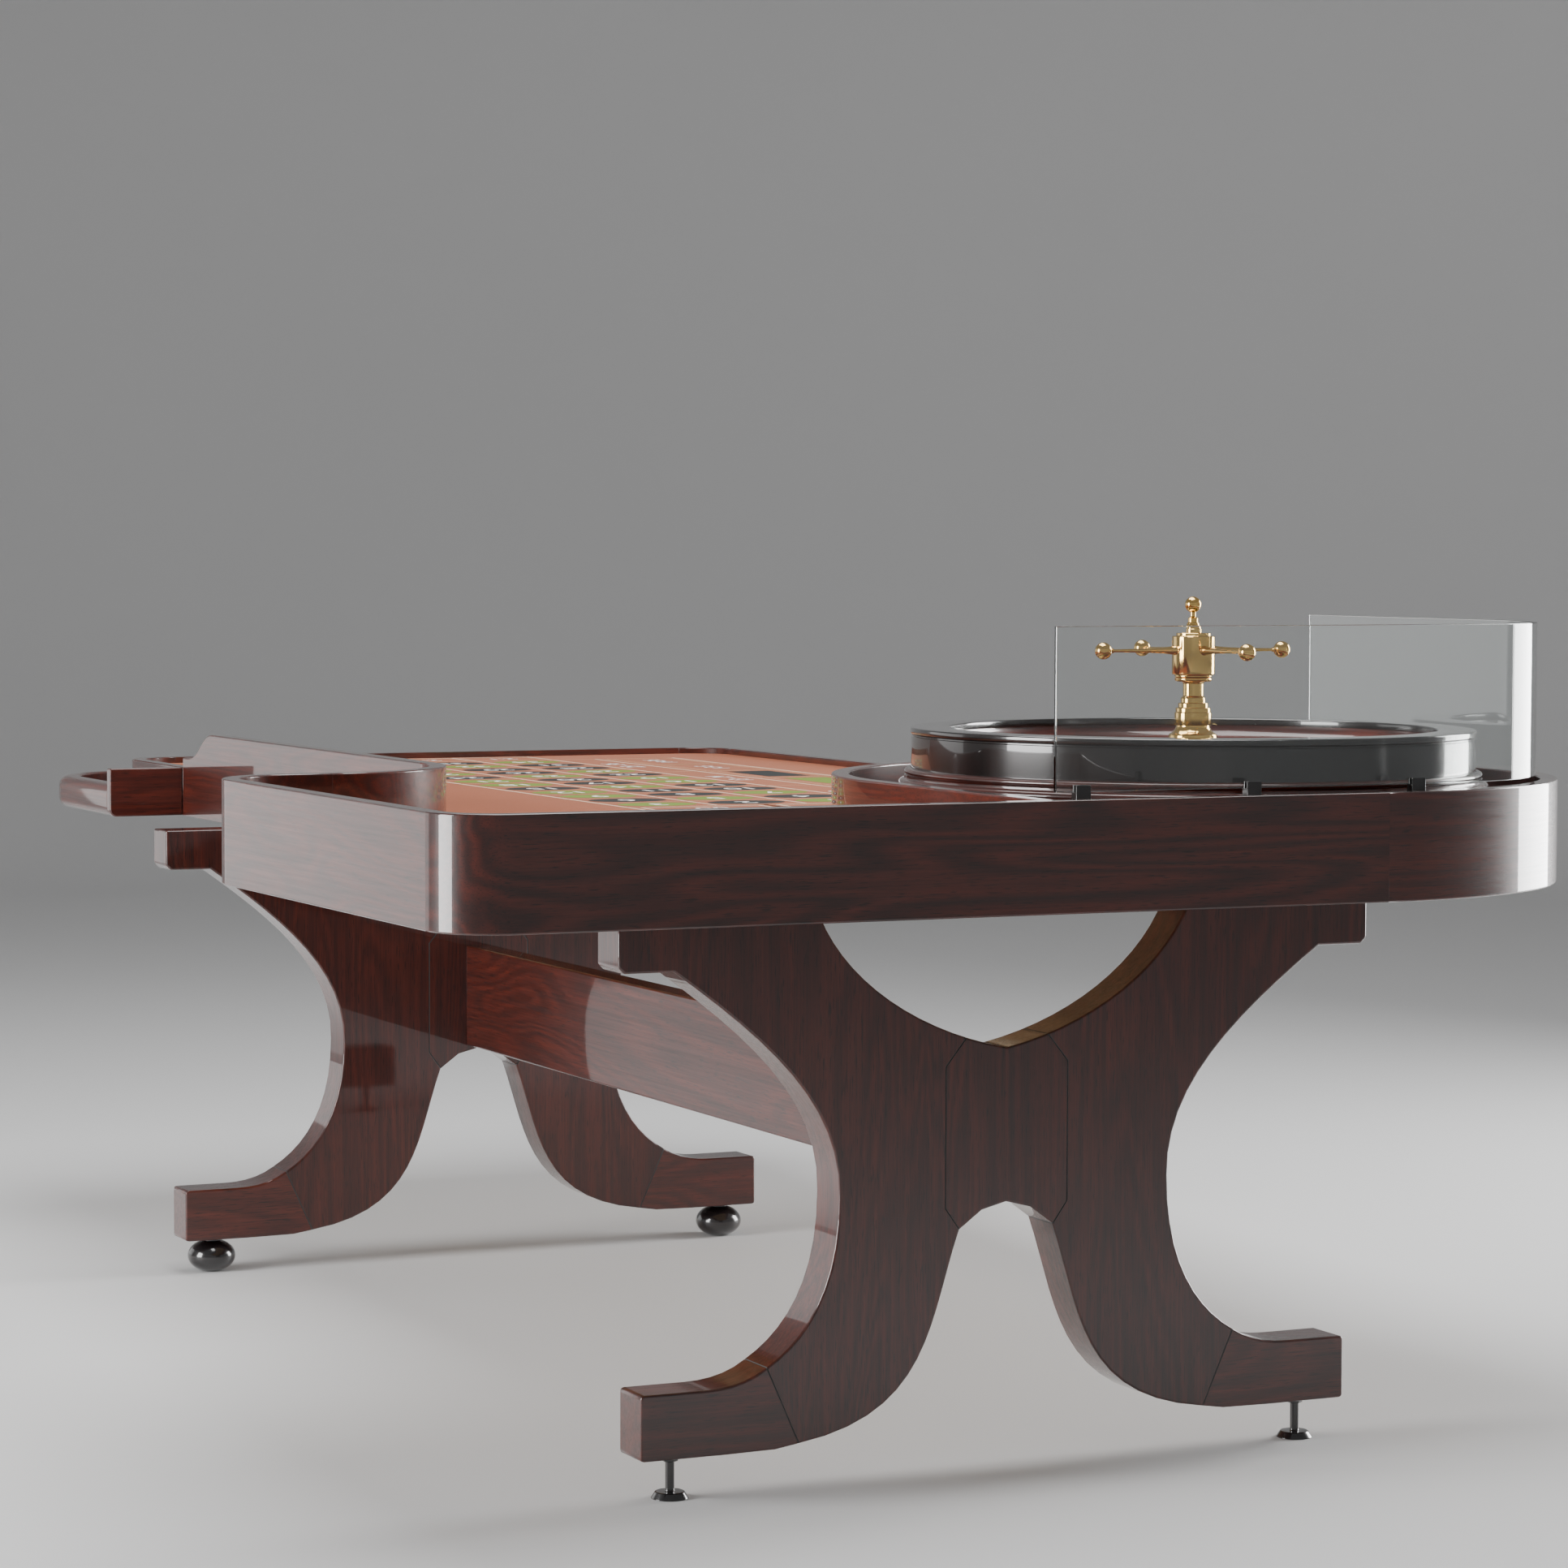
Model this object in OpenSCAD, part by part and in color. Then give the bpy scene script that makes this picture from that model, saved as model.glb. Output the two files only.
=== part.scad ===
// Roulette table: a panelled body with a wheel well, a croupier's recess and a
// players' ledge, carried on two X-shaped trestles, with a turning wheel.
// X runs along the table towards the wheel, Y away from the croupier, Z up.
// The origin is on the floor, midway between the two trestles.

/* [Trestles] */
// Distance between the middles of the two trestles
trestle_gap = 1919; // [1500:1:2100]
// Thickness of every trestle board
trestle_t = 70; // [50:1:90]
// Height of a trestle from the underside of its feet
trestle_h = 686; // [620:1:760]
// Half the width over a trestle's feet
foot_reach = 521; // [480:1:540]
// Half the width over a trestle's head
head_reach = 552; // [530:1:580]
// Height of the head's outer ends
head_h = 65; // [45:1:80]
// Height of a foot
foot_h = 85; // [60:1:100]
// Height of the feet above the floor
foot_lift = 56; // [50:1:70]
// Half the width of a trestle's waist
waist = 243; // [220:1:260]
// Half the width of the centre block
block_w = 90; // [80:1:100]
// Thickness of the stretcher board
stretcher_t = 45; // [30:1:60]
// Height of the stretcher board
stretcher_h = 171; // [120:1:180]
// Length of the stretcher's tenons
tenon_l = 40; // [20:1:50]
// Diameter of the dowels in the trestle seams
dowel_d = 12; // [8:1:16]

/* [Body] */
// Overall length of the body
body_len = 2820; // [2500:1:3000]
// Distance from the near trestle's middle to the wheel end's face
near_overhang = 145; // [110:1:220]
// Distance from the middle line to the croupier's side
left_w = 817; // [760:1:860]
// Distance from the middle line to the players' side
right_w = 810; // [760:1:820]
// Thickness of the apron boards
wall_t = 25; // [18:1:30]
// Height of the apron at the wheel end
high_h = 147; // [120:1:180]
// Height of the apron round the playing field
low_h = 84; // [78:1:100]
// Distance of the deck's underside above the body's underside
deck_rise = 53; // [40:1:56]
// Thickness of the deck
deck_t = 18; // [12:1:20]
// Thickness of the cloth
cloth_t = 2; // [1:0.5:3]
// Radius of the near left corner
near_r = 90; // [60:1:140]
// Radius of the two far corners
far_r = 100; // [60:1:140]

/* [Recess] */
// Distance from the wheel end's face to the recess
recess_from = 1010; // [960:1:1040]
// Distance of the recess's back wall from the middle line
recess_y = 400; // [360:1:440]
// Radius of the recess's outer corner
recess_out_r = 130; // [80:1:140]
// Radius of the recess's inner corner
recess_in_r = 225; // [150:1:240]
// Length of the backboard
backboard_len = 1192; // [1000:1:1250]
// Length of the backboard's curved end
backboard_curve = 165; // [120:1:200]
// Height of the backboard's far end above the low apron
backboard_lip = 17; // [8:1:25]

/* [Ledge] */
// Width of the players' ledge
ledge_w = 131; // [110:1:150]
// Width of the ledge's outer rail
ledge_rail_w = 38; // [30:1:45]
// Height of the ledge's outer rail
ledge_h = 55; // [45:1:60]
// Thickness of the ledge's floor
ledge_floor_t = 8; // [6:1:12]
// Thickness of the ledge's end panels
end_panel_t = 20; // [15:1:25]
// Gap between the well's wall and the board that the ledge's right end stops at
ledge_gap = 37.8; // [30:0.1:90]

/* [Wheel well] */
// Gap between the wheel's bowl and the well's wall
well_gap = 89; // [70:1:100]
// Distance of the wheel's centre from the middle line
wheel_y = 516; // [500:1:530]
// Thickness of the glass screen
glass_t = 6; // [5:1:8]
// Distance of the glass screen outside the wheel's bowl
glass_off = 25; // [23:1:40]
// Radius of the glass screen's corner
glass_r = 290; // [280:1:300]
// Height of the glass screen
glass_h = 217; // [150:1:260]

/* [Wheel] */
// Outer radius of the bowl
bowl_r = 405; // [390:1:410]
// Height of the bowl's rim above the deck
bowl_h = 143; // [130:1:160]
// Width of the bowl's flat rim
rim_w = 56; // [40:1:60]
// Thickness of the rim cap
cap_t = 10; // [6:1:14]
// Width of the slope between the ball track and the rotor
slope_w = 58; // [45:1:65]
// Radius of the spindle
spindle_r = 12; // [10:1:14]
// Running clearance of the bearings
run_fit = 0.05; // [0.02:0.01:0.09]
// Number of pockets
pockets = 38; // [37:1:38]
// Distance from the rotor's axis to the arms' ball centres
arm_reach = 148; // [110:1:155]
// Radius of the arms' balls
arm_ball_r = 12.3; // [9:0.1:14]
// Height of the arms above the bowl's rim
arm_rise = 111; // [90:1:120]

/* [Feet] */
// Diameter of the ball feet under the far trestle
ball_d = 80; // [60:1:90]
// Distance of the feet's stems from the ends of the trestle
stem_in = 55; // [45:1:70]
// Diameter of the feet's threaded stems
stem_d = 12; // [10:1:14]
// Diameter of the levelling pads under the near trestle
pad_d = 50; // [40:1:60]

/* [Hidden] */
$fn = 96;
fit = 0.1;
eps = 0.01;

z_body = foot_lift + trestle_h;
z_high = z_body + high_h;
z_low = z_body + low_h;
z_deck = z_body + deck_rise + deck_t;
z_rim = z_deck + bowl_h;

near_x = trestle_gap / 2;
far_x = -near_x;
front_x = near_x + near_overhang;
back_x = front_x - body_len;
recess_x = front_x - recess_from;
board_x0 = recess_x - recess_in_r;
board_x1 = board_x0 - backboard_len;
well_in = bowl_r + well_gap;
well_r = well_in + wall_t;
wheel_x = front_x - well_r;
// Where the well leaves the body's right side
well_a = 180 - asin((right_w - wheel_y) / well_r);
// Place of the ledge's right end along the table
ledge_end_x = wheel_x + well_r * cos(well_a) - ledge_gap;

// Points of an arc, from angle a0 to a1 degrees
function arc(cx, cy, r, a0, a1, n = 12) =
    [for (i = [0:n]) let(a = a0 + (a1 - a0) * i / n) [cx + r * cos(a), cy + r * sin(a)]];

// Points of a cubic curve from p0 to p3
function curve(p0, p1, p2, p3, n = 12) =
    [for (i = [0:n]) let(t = i / n, s = 1 - t)
        p0 * s * s * s + 3 * p1 * s * s * t + 3 * p2 * s * t * t + p3 * t * t * t];

// ---------------------------------------------------------------- trestles
// Outlines are drawn in Y and Z for the right half, from the feet's underside.

hollow_depth = 182;
crotch_h = 203;
hollow_mouth = 272;
head_z = trestle_h - head_h;
hollow_z = trestle_h - hollow_depth;
arch_z = hollow_z - crotch_h;
waist_z = hollow_z - 182;
seam_top = [foot_reach - 175, foot_h + 23];
seam_low = [foot_reach - 221, 6];
block_top = block_w - 30;
block_low = block_w - 21;
block_shoulder = 21;
head_round = 8;
foot_round = 3;

// The hollow's edge from the head down to the middle
hollow = curve([hollow_mouth, trestle_h], [hollow_mouth - 37, hollow_z + 96], [130, hollow_z + 26],
               [0, hollow_z], 14);
// The leg's inner edge from the centre block down to the foot's seam
arch_leg = curve([block_low, arch_z - 33], [112, arch_z - 150], [110, 30], seam_low, 14);
// The outer edge from the foot up to the head
toe = curve([foot_reach - 89, foot_h], [foot_reach - 120, foot_h], [foot_reach - 150, foot_h + 6],
            seam_top, 5);
shin = curve(seam_top, [foot_reach - 230, foot_h + 55], [waist, waist_z - 120], [waist, waist_z], 10);
thigh = curve([waist, waist_z], [waist - 3, waist_z + 120], [head_reach - 207, head_z - 93],
              [head_reach - 76, head_z], 12);

// Z of the hollow's edge at a distance y from the middle
function hollow_at(y) = lookup(y, [for (i = [len(hollow) - 1:-1:0]) hollow[i]]);

// The seam between the centre block and a leg, from the hollow down to the arch
block_edge = [[block_top, hollow_at(block_top)], [block_w, hollow_z - block_shoulder],
              [block_w, arch_z - 4], [block_low, arch_z - 33]];

// Half of the centre block's outline, from its top to its underside
block_half = concat([for (i = [len(hollow) - 1:-1:0]) if (hollow[i][0] < block_top) hollow[i]],
                    block_edge, [[36, arch_z - 9], [0, arch_z]]);

// Stands a drawing in Y and Z up as a board whose middle is at x
module board(x, t = trestle_t) {
    translate([x - t / 2, 0, foot_lift])
        rotate([90, 0, 90])
            linear_extrude(t)
                children();
}

// Dowels across the seams of one trestle, right half, r being their radius
module dowels(x, r) {
    half_l = 30;
    row_gap = 16;
    seam_mid = (seam_top + seam_low) / 2;
    seam_a = atan2(seam_top[0] - seam_low[0], seam_top[1] - seam_low[1]);
    for (dx = [-row_gap, row_gap]) {
        for (z = [arch_z + 50, hollow_z - 60])
            translate([x + dx, block_w - half_l, foot_lift + z])
                rotate([-90, 0, 0])
                    cylinder(r = r, h = 2 * half_l, $fn = 24);
        translate([x + dx, seam_mid[0], foot_lift + seam_mid[1]])
            rotate([-90 - seam_a, 0, 0])
                cylinder(r = r, h = 2 * half_l, center = true, $fn = 24);
    }
}

bolt_r = 5;
bolt_grip = 45;
bolt_sink = 12;
bolt_in = [330, 480];
// The one bolt beside the recess, midway between the leg's hollow and the recess's wall
recess_bolt = (hollow_mouth + recess_y - wall_t) / 2;

// Places of the bolts that hold the body to the trestles
function bolt_places(x) =
    x > 0 ? [for (s = [-1, 1], y = bolt_in) [x, s * y]]
          : [[x, -recess_bolt], [x, bolt_in[0]], [x, bolt_in[1]]];

module bolt_holes(x, r) {
    for (p = bolt_places(x))
        translate([p[0], p[1], z_body - bolt_grip - 1])
            cylinder(r = r, h = bolt_grip + deck_rise + 2, $fn = 24);
}

module leg(x, side) {
    color("#3a1812")
        difference() {
            mirror([0, side < 0 ? 1 : 0, 0])
                difference() {
                    board(x)
                        polygon(concat(shin, thigh,
                                       [[head_reach - head_round, head_z],
                                        [head_reach, head_z + head_round], [head_reach, trestle_h]],
                                       [for (p = hollow) if (p[0] > block_top) p], block_edge,
                                       [for (i = [1:len(arch_leg) - 1]) arch_leg[i]]));
                    dowels(x, dowel_d / 2);
                }
            bolt_holes(x, bolt_r + fit);
        }
}

module centre_block(x) {
    inner = x > 0 ? -1 : 1;
    color("#42201a")
        difference() {
            board(x)
                polygon(concat(block_half,
                               [for (i = [len(block_half) - 2:-1:1]) [-block_half[i][0], block_half[i][1]]]));
            for (m = [0, 1])
                mirror([0, m, 0])
                    dowels(x, dowel_d / 2);
            translate([x + inner * trestle_t / 2, 0, stretcher_z])
                cube([2 * tenon_l + 2 * fit, tenon_t + 2 * fit, tenon_h + 2 * fit], center = true);
        }
}

module foot(x, side) {
    stem_y = side * (foot_reach - stem_in);
    color("#4a201a")
        difference() {
            mirror([0, side < 0 ? 1 : 0, 0])
                difference() {
                    board(x)
                        polygon(concat([[foot_reach, foot_round], [foot_reach, foot_h - foot_round],
                                        [foot_reach - foot_round, foot_h]], toe,
                                       [seam_low, [foot_reach - 188, 1], [foot_reach - 120, 0],
                                        [foot_reach - foot_round, 0]]));
                    dowels(x, dowel_d / 2);
                }
            translate([x, stem_y, foot_lift - 1])
                cylinder(r = bush_r, h = stem_l + 1, $fn = 32);
        }
}

module near_left_leg() { leg(near_x, -1); }
module near_right_leg() { leg(near_x, 1); }
module near_centre_block() { centre_block(near_x); }
module near_left_foot() { foot(near_x, -1); }
module near_right_foot() { foot(near_x, 1); }
module far_left_leg() { leg(far_x, -1); }
module far_right_leg() { leg(far_x, 1); }
module far_centre_block() { centre_block(far_x); }
module far_left_foot() { foot(far_x, -1); }
module far_right_foot() { foot(far_x, 1); }

module trestle_dowels() {
    color("burlywood")
        for (x = [near_x, far_x], m = [0, 1])
            mirror([0, m, 0])
                dowels(x, dowel_d / 2 - fit);
}

shoulder_t = 7.5;
shoulder_h = 25;
tenon_t = stretcher_t - 2 * shoulder_t;
tenon_h = stretcher_h - 2 * shoulder_h;
stretcher_drop = 27;
stretcher_z = foot_lift + hollow_z - stretcher_drop - stretcher_h / 2;

module stretcher() {
    color("#5a2a1e")
        translate([0, 0, stretcher_z]) {
            cube([trestle_gap - trestle_t, stretcher_t, stretcher_h], center = true);
            cube([trestle_gap - trestle_t + 2 * tenon_l, tenon_t, tenon_h], center = true);
        }
}

// ---------------------------------------------------------------- bearers
bearer_t = 40;
bearer_y = 540;
side_bearer_y = recess_y - 155;
washer_r = 10;
washer_t = 2;
bolt_head_r = 8.5;
bolt_head_h = 6.4;

module bearer(x, y0) {
    color("#8a6a48")
        difference() {
            translate([x - bearer_t / 2, y0, z_body])
                cube([bearer_t, bearer_y - y0, deck_rise]);
            bolt_holes(x, bolt_r + fit);
            for (p = bolt_places(x))
                translate([p[0], p[1], z_body + deck_rise - bolt_sink])
                    cylinder(r = washer_r + 1, h = bolt_sink + 1, $fn = 32);
        }
}

module cross_bearers() {
    bearer(near_x, -bearer_y);
    bearer(far_x, -recess_y + wall_t);
}

module side_bearers() {
    ends = [back_x + wall_t, far_x - bearer_t / 2, far_x + bearer_t / 2,
            near_x - bearer_t / 2, near_x + bearer_t / 2, front_x - wall_t];
    color("#8a6a48")
        for (s = [-1, 1], i = [0:2:4])
            translate([ends[i], s * side_bearer_y - bearer_t / 2, z_body])
                cube([ends[i + 1] - ends[i], bearer_t, deck_rise]);
}

module trestle_bolts() {
    seat = z_body + deck_rise - bolt_sink + washer_t;
    color("silver")
        for (x = [near_x, far_x], p = bolt_places(x))
            translate([p[0], p[1], 0]) {
                translate([0, 0, seat])
                    cylinder(r = bolt_head_r, h = bolt_head_h, $fn = 6);
                translate([0, 0, z_body - bolt_grip])
                    cylinder(r = bolt_r, h = seat - z_body + bolt_grip + eps, $fn = 24);
            }
}

module bolt_washers() {
    color("gainsboro")
        for (x = [near_x, far_x], p = bolt_places(x))
            translate([p[0], p[1], z_body + deck_rise - bolt_sink])
                difference() {
                    cylinder(r = washer_r, h = washer_t, $fn = 32);
                    translate([0, 0, -1])
                        cylinder(r = bolt_r + fit, h = washer_t + 2, $fn = 24);
                }
}

// ---------------------------------------------------------------- body
// The body's outline set in by t; a negative t sets it out
function body_points(t) =
    concat(arc(front_x - near_r, near_r - left_w, near_r - t, -90, 0),
           [[front_x - t, wheel_y], [wheel_x, right_w - t]],
           arc(back_x + far_r, right_w - far_r, far_r - t, 90, 180),
           arc(back_x + far_r, far_r - recess_y, far_r - t, 180, 270),
           arc(board_x0, -recess_y - recess_in_r, recess_in_r + t, 90, 0, 20),
           arc(recess_x + recess_out_r, recess_out_r - left_w, recess_out_r - t, 180, 270));

// One length of the apron: what the box from (x0, y0) to (x1, y1) holds of it
module apron(x0, y0, x1, y1, h) {
    translate([0, 0, z_body])
        linear_extrude(h)
            intersection() {
                difference() {
                    polygon(body_points(0));
                    polygon(body_points(wall_t));
                }
                translate([x0, y0])
                    square([x1 - x0, y1 - y0]);
            }
}

module wheel_end_apron() {
    color("#4a1a10")
        apron(front_x - near_r, -left_w, front_x, wheel_y, high_h);
}

module left_apron() {
    color("#5a2216")
        apron(recess_x, -left_w, front_x - near_r, -recess_y - recess_in_r, high_h);
}

module recess_corner() {
    color("#642a18")
        apron(board_x0, -recess_y - recess_in_r, recess_x + wall_t, -recess_y + wall_t, high_h);
}

// The backboard's end drops in an S to a low lip
module backboard() {
    lip_z = low_h + backboard_lip;
    far_end = board_x1 - board_x0;
    swoop = curve([far_end + backboard_curve, high_h], [far_end + backboard_curve - 60, high_h],
                  [far_end + backboard_curve - 70, lip_z], [far_end + 25, lip_z], 14);
    color("#5a2216")
        translate([board_x0, wall_t - recess_y, z_body])
            rotate([90, 0, 0])
                linear_extrude(wall_t)
                    polygon(concat([[0, 0], [0, high_h]], swoop, [[far_end, lip_z], [far_end, 0]]));
}

module left_low_apron() {
    color("#4a1a10")
        apron(back_x + far_r, -recess_y, board_x1, -recess_y + wall_t, low_h);
}

module far_left_corner() {
    color("#5a2216")
        apron(back_x, -recess_y, back_x + far_r, far_r - recess_y, low_h);
}

module far_apron() {
    color("#4a1a10")
        apron(back_x, far_r - recess_y, back_x + wall_t, right_w - far_r, low_h);
}

module far_right_corner() {
    color("#5a2216")
        apron(back_x, right_w - far_r, back_x + far_r, right_w, low_h);
}

module right_apron() {
    color("#4a1a10")
        difference() {
            apron(back_x + far_r, right_w - wall_t, wheel_x, right_w, low_h);
            translate([wheel_x, wheel_y, z_body - 1])
                cylinder(r = well_r, h = low_h + 2);
        }
}

// A length of the well's round wall, from angle a0 to a1
module well_arc(a0, a1, z0) {
    translate([wheel_x, wheel_y, 0])
        rotate([0, 0, a0])
            rotate_extrude(angle = a1 - a0)
                translate([well_in, z0])
                    square([wall_t, z_high - z0]);
}

module well_outer_wall() {
    color("#4a1a10")
        well_arc(0, well_a, z_body);
}

// The part of the well's wall that stands on the deck, with its straight side
module well_inner_wall() {
    color("#6a2a1a") {
        well_arc(well_a, 270, z_deck);
        translate([wheel_x, wheel_y - well_r, z_deck])
            cube([well_in, wall_t, z_high - z_deck]);
    }
}

module deck_half(x0, x1) {
    translate([0, 0, z_body + deck_rise])
        intersection() {
            union() {
                linear_extrude(deck_t)
                    polygon(body_points(wall_t));
                translate([wheel_x, wheel_y, 0])
                    cylinder(r = well_in, h = deck_t);
            }
            translate([x0, -left_w, -1])
                cube([x1 - x0, 2 * left_w + well_r, deck_t + 2]);
        }
}

module near_deck() {
    color("tan")
        deck_half(0, front_x);
}

module far_deck() {
    color("tan")
        deck_half(back_x, 0);
}

cloth_gap = 0.5;

module playing_cloth() {
    reach = well_r + cloth_gap;
    color("#a8481c")
        translate([0, 0, z_deck])
            difference() {
                linear_extrude(cloth_t)
                    polygon(body_points(wall_t + cloth_gap));
                translate([wheel_x, wheel_y, -1])
                    cylinder(r = reach, h = cloth_t + 2);
                translate([wheel_x, wheel_y - reach, -1])
                    cube([2 * reach, 3 * reach, cloth_t + 2]);
            }
}

// ---------------------------------------------------------------- ledge
ledge_in = ledge_w - ledge_rail_w;
rail_round = 17;
rail_top_in = 3;

// The outer rail's section: flat inside, well rounded outside
rail_section = concat([[0, 0]], arc(ledge_rail_w - rail_round, rail_round, rail_round, -90, 0, 6),
                      arc(ledge_rail_w - rail_round, ledge_h - rail_round, rail_round, 0, 90, 6),
                      [[rail_top_in, ledge_h], [0, ledge_h - rail_top_in]]);

// A straight rail of length l along +X, standing out towards -Y
module rail_run(l) {
    rotate([90, 0, 90])
        linear_extrude(l)
            polygon([for (p = rail_section) [-p[0], p[1]]]);
}

// The rail round a far corner, from angle a0 on
module rail_bend(cy, a0) {
    translate([back_x + far_r, cy, z_body])
        rotate([0, 0, a0])
            rotate_extrude(angle = 90)
                translate([far_r + ledge_in, 0])
                    polygon(rail_section);
}

module ledge_floor() {
    color("#5a1a12")
        translate([0, 0, z_body])
            linear_extrude(ledge_floor_t)
                difference() {
                    intersection() {
                        polygon(body_points(-ledge_in));
                        union() {
                            translate([back_x - ledge_w, -recess_y - ledge_w])
                                square([board_x1 - end_panel_t - back_x + ledge_w, 2 * recess_y]);
                            translate([back_x - ledge_w, 0])
                                square([ledge_end_x - back_x + ledge_w, right_w + ledge_w]);
                        }
                    }
                    polygon(body_points(0));
                }
}

module ledge_rail_left() {
    run = board_x1 - end_panel_t - back_x - far_r;
    color("#6a3428") {
        translate([back_x + far_r, -recess_y - ledge_in, z_body])
            rail_run(run);
        rail_bend(far_r - recess_y, 180);
    }
}

module ledge_rail_far() {
    color("#5a2a20")
        translate([back_x - ledge_in, right_w - far_r, z_body])
            rotate([0, 0, -90])
                rail_run(right_w + recess_y - 2 * far_r);
}

module ledge_rail_right() {
    color("#6a3428") {
        translate([ledge_end_x, right_w + ledge_in, z_body])
            rotate([0, 0, 180])
                rail_run(ledge_end_x - back_x - far_r);
        rail_bend(right_w - far_r, 90);
    }
}

// An end panel whose outer lower corner is rounded
module end_panel(x, y0, outwards) {
    corner_r = 12;
    points = concat(arc(ledge_w - corner_r, corner_r, corner_r, -90, 0, 6),
                    [[ledge_w, low_h], [0, low_h], [0, 0]]);
    color("#4a1a10")
        translate([x, y0, z_body])
            rotate([90, 0, 90])
                linear_extrude(end_panel_t)
                    polygon([for (p = points) [outwards * p[0], p[1]]]);
}

module ledge_end_panels() {
    end_panel(board_x1 - end_panel_t, -recess_y, -1);
    end_panel(ledge_end_x, right_w, 1);
}

plate_l = 70;
plate_w = 30;
plate_t = 3;
screw_r = 2;
screw_bite = 6;
plate_pitch = 300;

// Places of the steel plates across the joint of body and ledge: x, y and turn
plate_places = concat(
    [for (x = [back_x + far_r + 60:200:board_x1 - 60]) [x, -recess_y, -90]],
    [for (y = [0:plate_pitch:right_w - far_r]) [back_x, y, 180]],
    [for (x = [back_x + far_r + 150:plate_pitch:ledge_end_x - 60]) [x, right_w, 90]]);

module ledge_plates() {
    color("silver")
        for (p = plate_places)
            translate([p[0], p[1], z_body - plate_t])
                rotate([0, 0, p[2]])
                    difference() {
                        translate([-wall_t + 2, -plate_w / 2, 0])
                            cube([plate_l, plate_w, plate_t]);
                        for (d = [-wall_t / 2, plate_l - wall_t - 10])
                            translate([d, 0, -1])
                                cylinder(r = screw_r + fit, h = plate_t + 2, $fn = 24);
                    }
}

module ledge_screws() {
    color("gainsboro")
        for (p = plate_places)
            translate([p[0], p[1], z_body - plate_t])
                rotate([0, 0, p[2]])
                    for (d = [-wall_t / 2, plate_l - wall_t - 10])
                        translate([d, 0, 0]) {
                            translate([0, 0, -1.5])
                                cylinder(r1 = 3, r2 = 4, h = 1.5, $fn = 24);
                            translate([0, 0, -eps])
                                cylinder(r = screw_r, h = plate_t + screw_bite, $fn = 24);
                        }
}

// ---------------------------------------------------------------- glass screen
glass_gap = 5;
glass_z = z_high + glass_gap;
glass_d = bowl_r + glass_off;
glass_from = 34 - well_in;
glass_to = 121 - well_in;
clamp_l = 22;
clamp_w = 14;
clamp_grip = 9;

module glass_band(d) {
    mid = glass_d - glass_r;
    translate([mid, mid])
        intersection() {
            circle(r = glass_r + d);
            square(glass_r + d);
        }
    translate([0, glass_from])
        square([glass_d + d, mid - glass_from]);
    translate([glass_to, 0])
        square([mid - glass_to, glass_d + d]);
}

module glass_screen() {
    color("lightcyan", 0.35)
        translate([wheel_x, wheel_y, glass_z])
            linear_extrude(glass_h)
                difference() {
                    glass_band(glass_t / 2);
                    glass_band(-glass_t / 2);
                    translate([glass_to - 1, glass_from])
                        square([glass_d - glass_r - glass_to, glass_d - glass_t / 2 - glass_from - 1]);
                }
}

// A slotted clamp under the glass, which runs along Y here
module clamp_jaw(z0) {
    difference() {
        translate([-clamp_w / 2, -clamp_l / 2, z0])
            cube([clamp_w, clamp_l, glass_z + clamp_grip - z0]);
        translate([-glass_t / 2 - fit, -clamp_l, glass_z])
            cube([glass_t + 2 * fit, 2 * clamp_l, clamp_grip + 1]);
    }
}

// Clamps on arms from the wheel end's apron, and one on the well's rail
module screen_clamps() {
    arm_t = 12;
    arm_z = z_high - 30;
    rail_a = 180 - asin(glass_d / (well_in + wall_t / 2));
    rail_at = (well_in + wall_t / 2) * cos(rail_a);
    color("silver")
        translate([wheel_x, wheel_y, 0]) {
            for (y = [glass_from + 40, -160, glass_d - glass_r - 40])
                translate([glass_d, y, 0]) {
                    clamp_jaw(arm_z);
                    wall_x = sqrt(pow(well_in, 2) - pow(max(0, y + clamp_l / 2), 2));
                    translate([clamp_w / 2 - eps, -clamp_l / 2, arm_z])
                        cube([wall_x - glass_d - clamp_w / 2 - 1, clamp_l, arm_t]);
                }
            translate([rail_at, glass_d, 0])
                rotate([0, 0, 90])
                    clamp_jaw(z_high);
        }
}

// ---------------------------------------------------------------- wheel
// Heights below are above the deck and radii from the wheel's axis.

base_t = 15;
shell_t = 20;
track_r = bowl_r - rim_w;
track_z = bowl_h - cap_t;
groove_w = 26;
stator_gap = 3;
stator_r = track_r - groove_w - slope_w;
rotor_r = stator_r - stator_gap;
groove_z = track_z - 21;
stator_z = track_z - 45;
dish_z = 50;
dish_t = 14;
number_in = rotor_r - 48;
pocket_in = number_in - 38;
hub_r = 40;
hub_z = 30;
bearing_r = 20;
bearing_h = 14;
cone_z = bowl_h - 31;
spindle_h = cone_z - 6;
low_bearing_z = hub_z + 2;
high_bearing_z = spindle_h - bearing_h - 8;

// Turns an outline of radii and heights about the wheel's axis
module turned(points) {
    translate([wheel_x, wheel_y, z_deck])
        rotate_extrude()
            polygon(points);
}

module bowl_base() {
    foot_in = bowl_r - 65;
    color("#2a1410")
        turned([[spindle_r + 30, 4], [foot_in, 4], [foot_in, 0], [bowl_r - 10, 0], [bowl_r - 10, base_t],
                [spindle_r + 30, base_t]]);
}

module bowl_shell() {
    color("black")
        turned([[bowl_r - shell_t, base_t], [bowl_r, base_t], [bowl_r, track_z],
                [bowl_r - shell_t, track_z]]);
}

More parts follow.
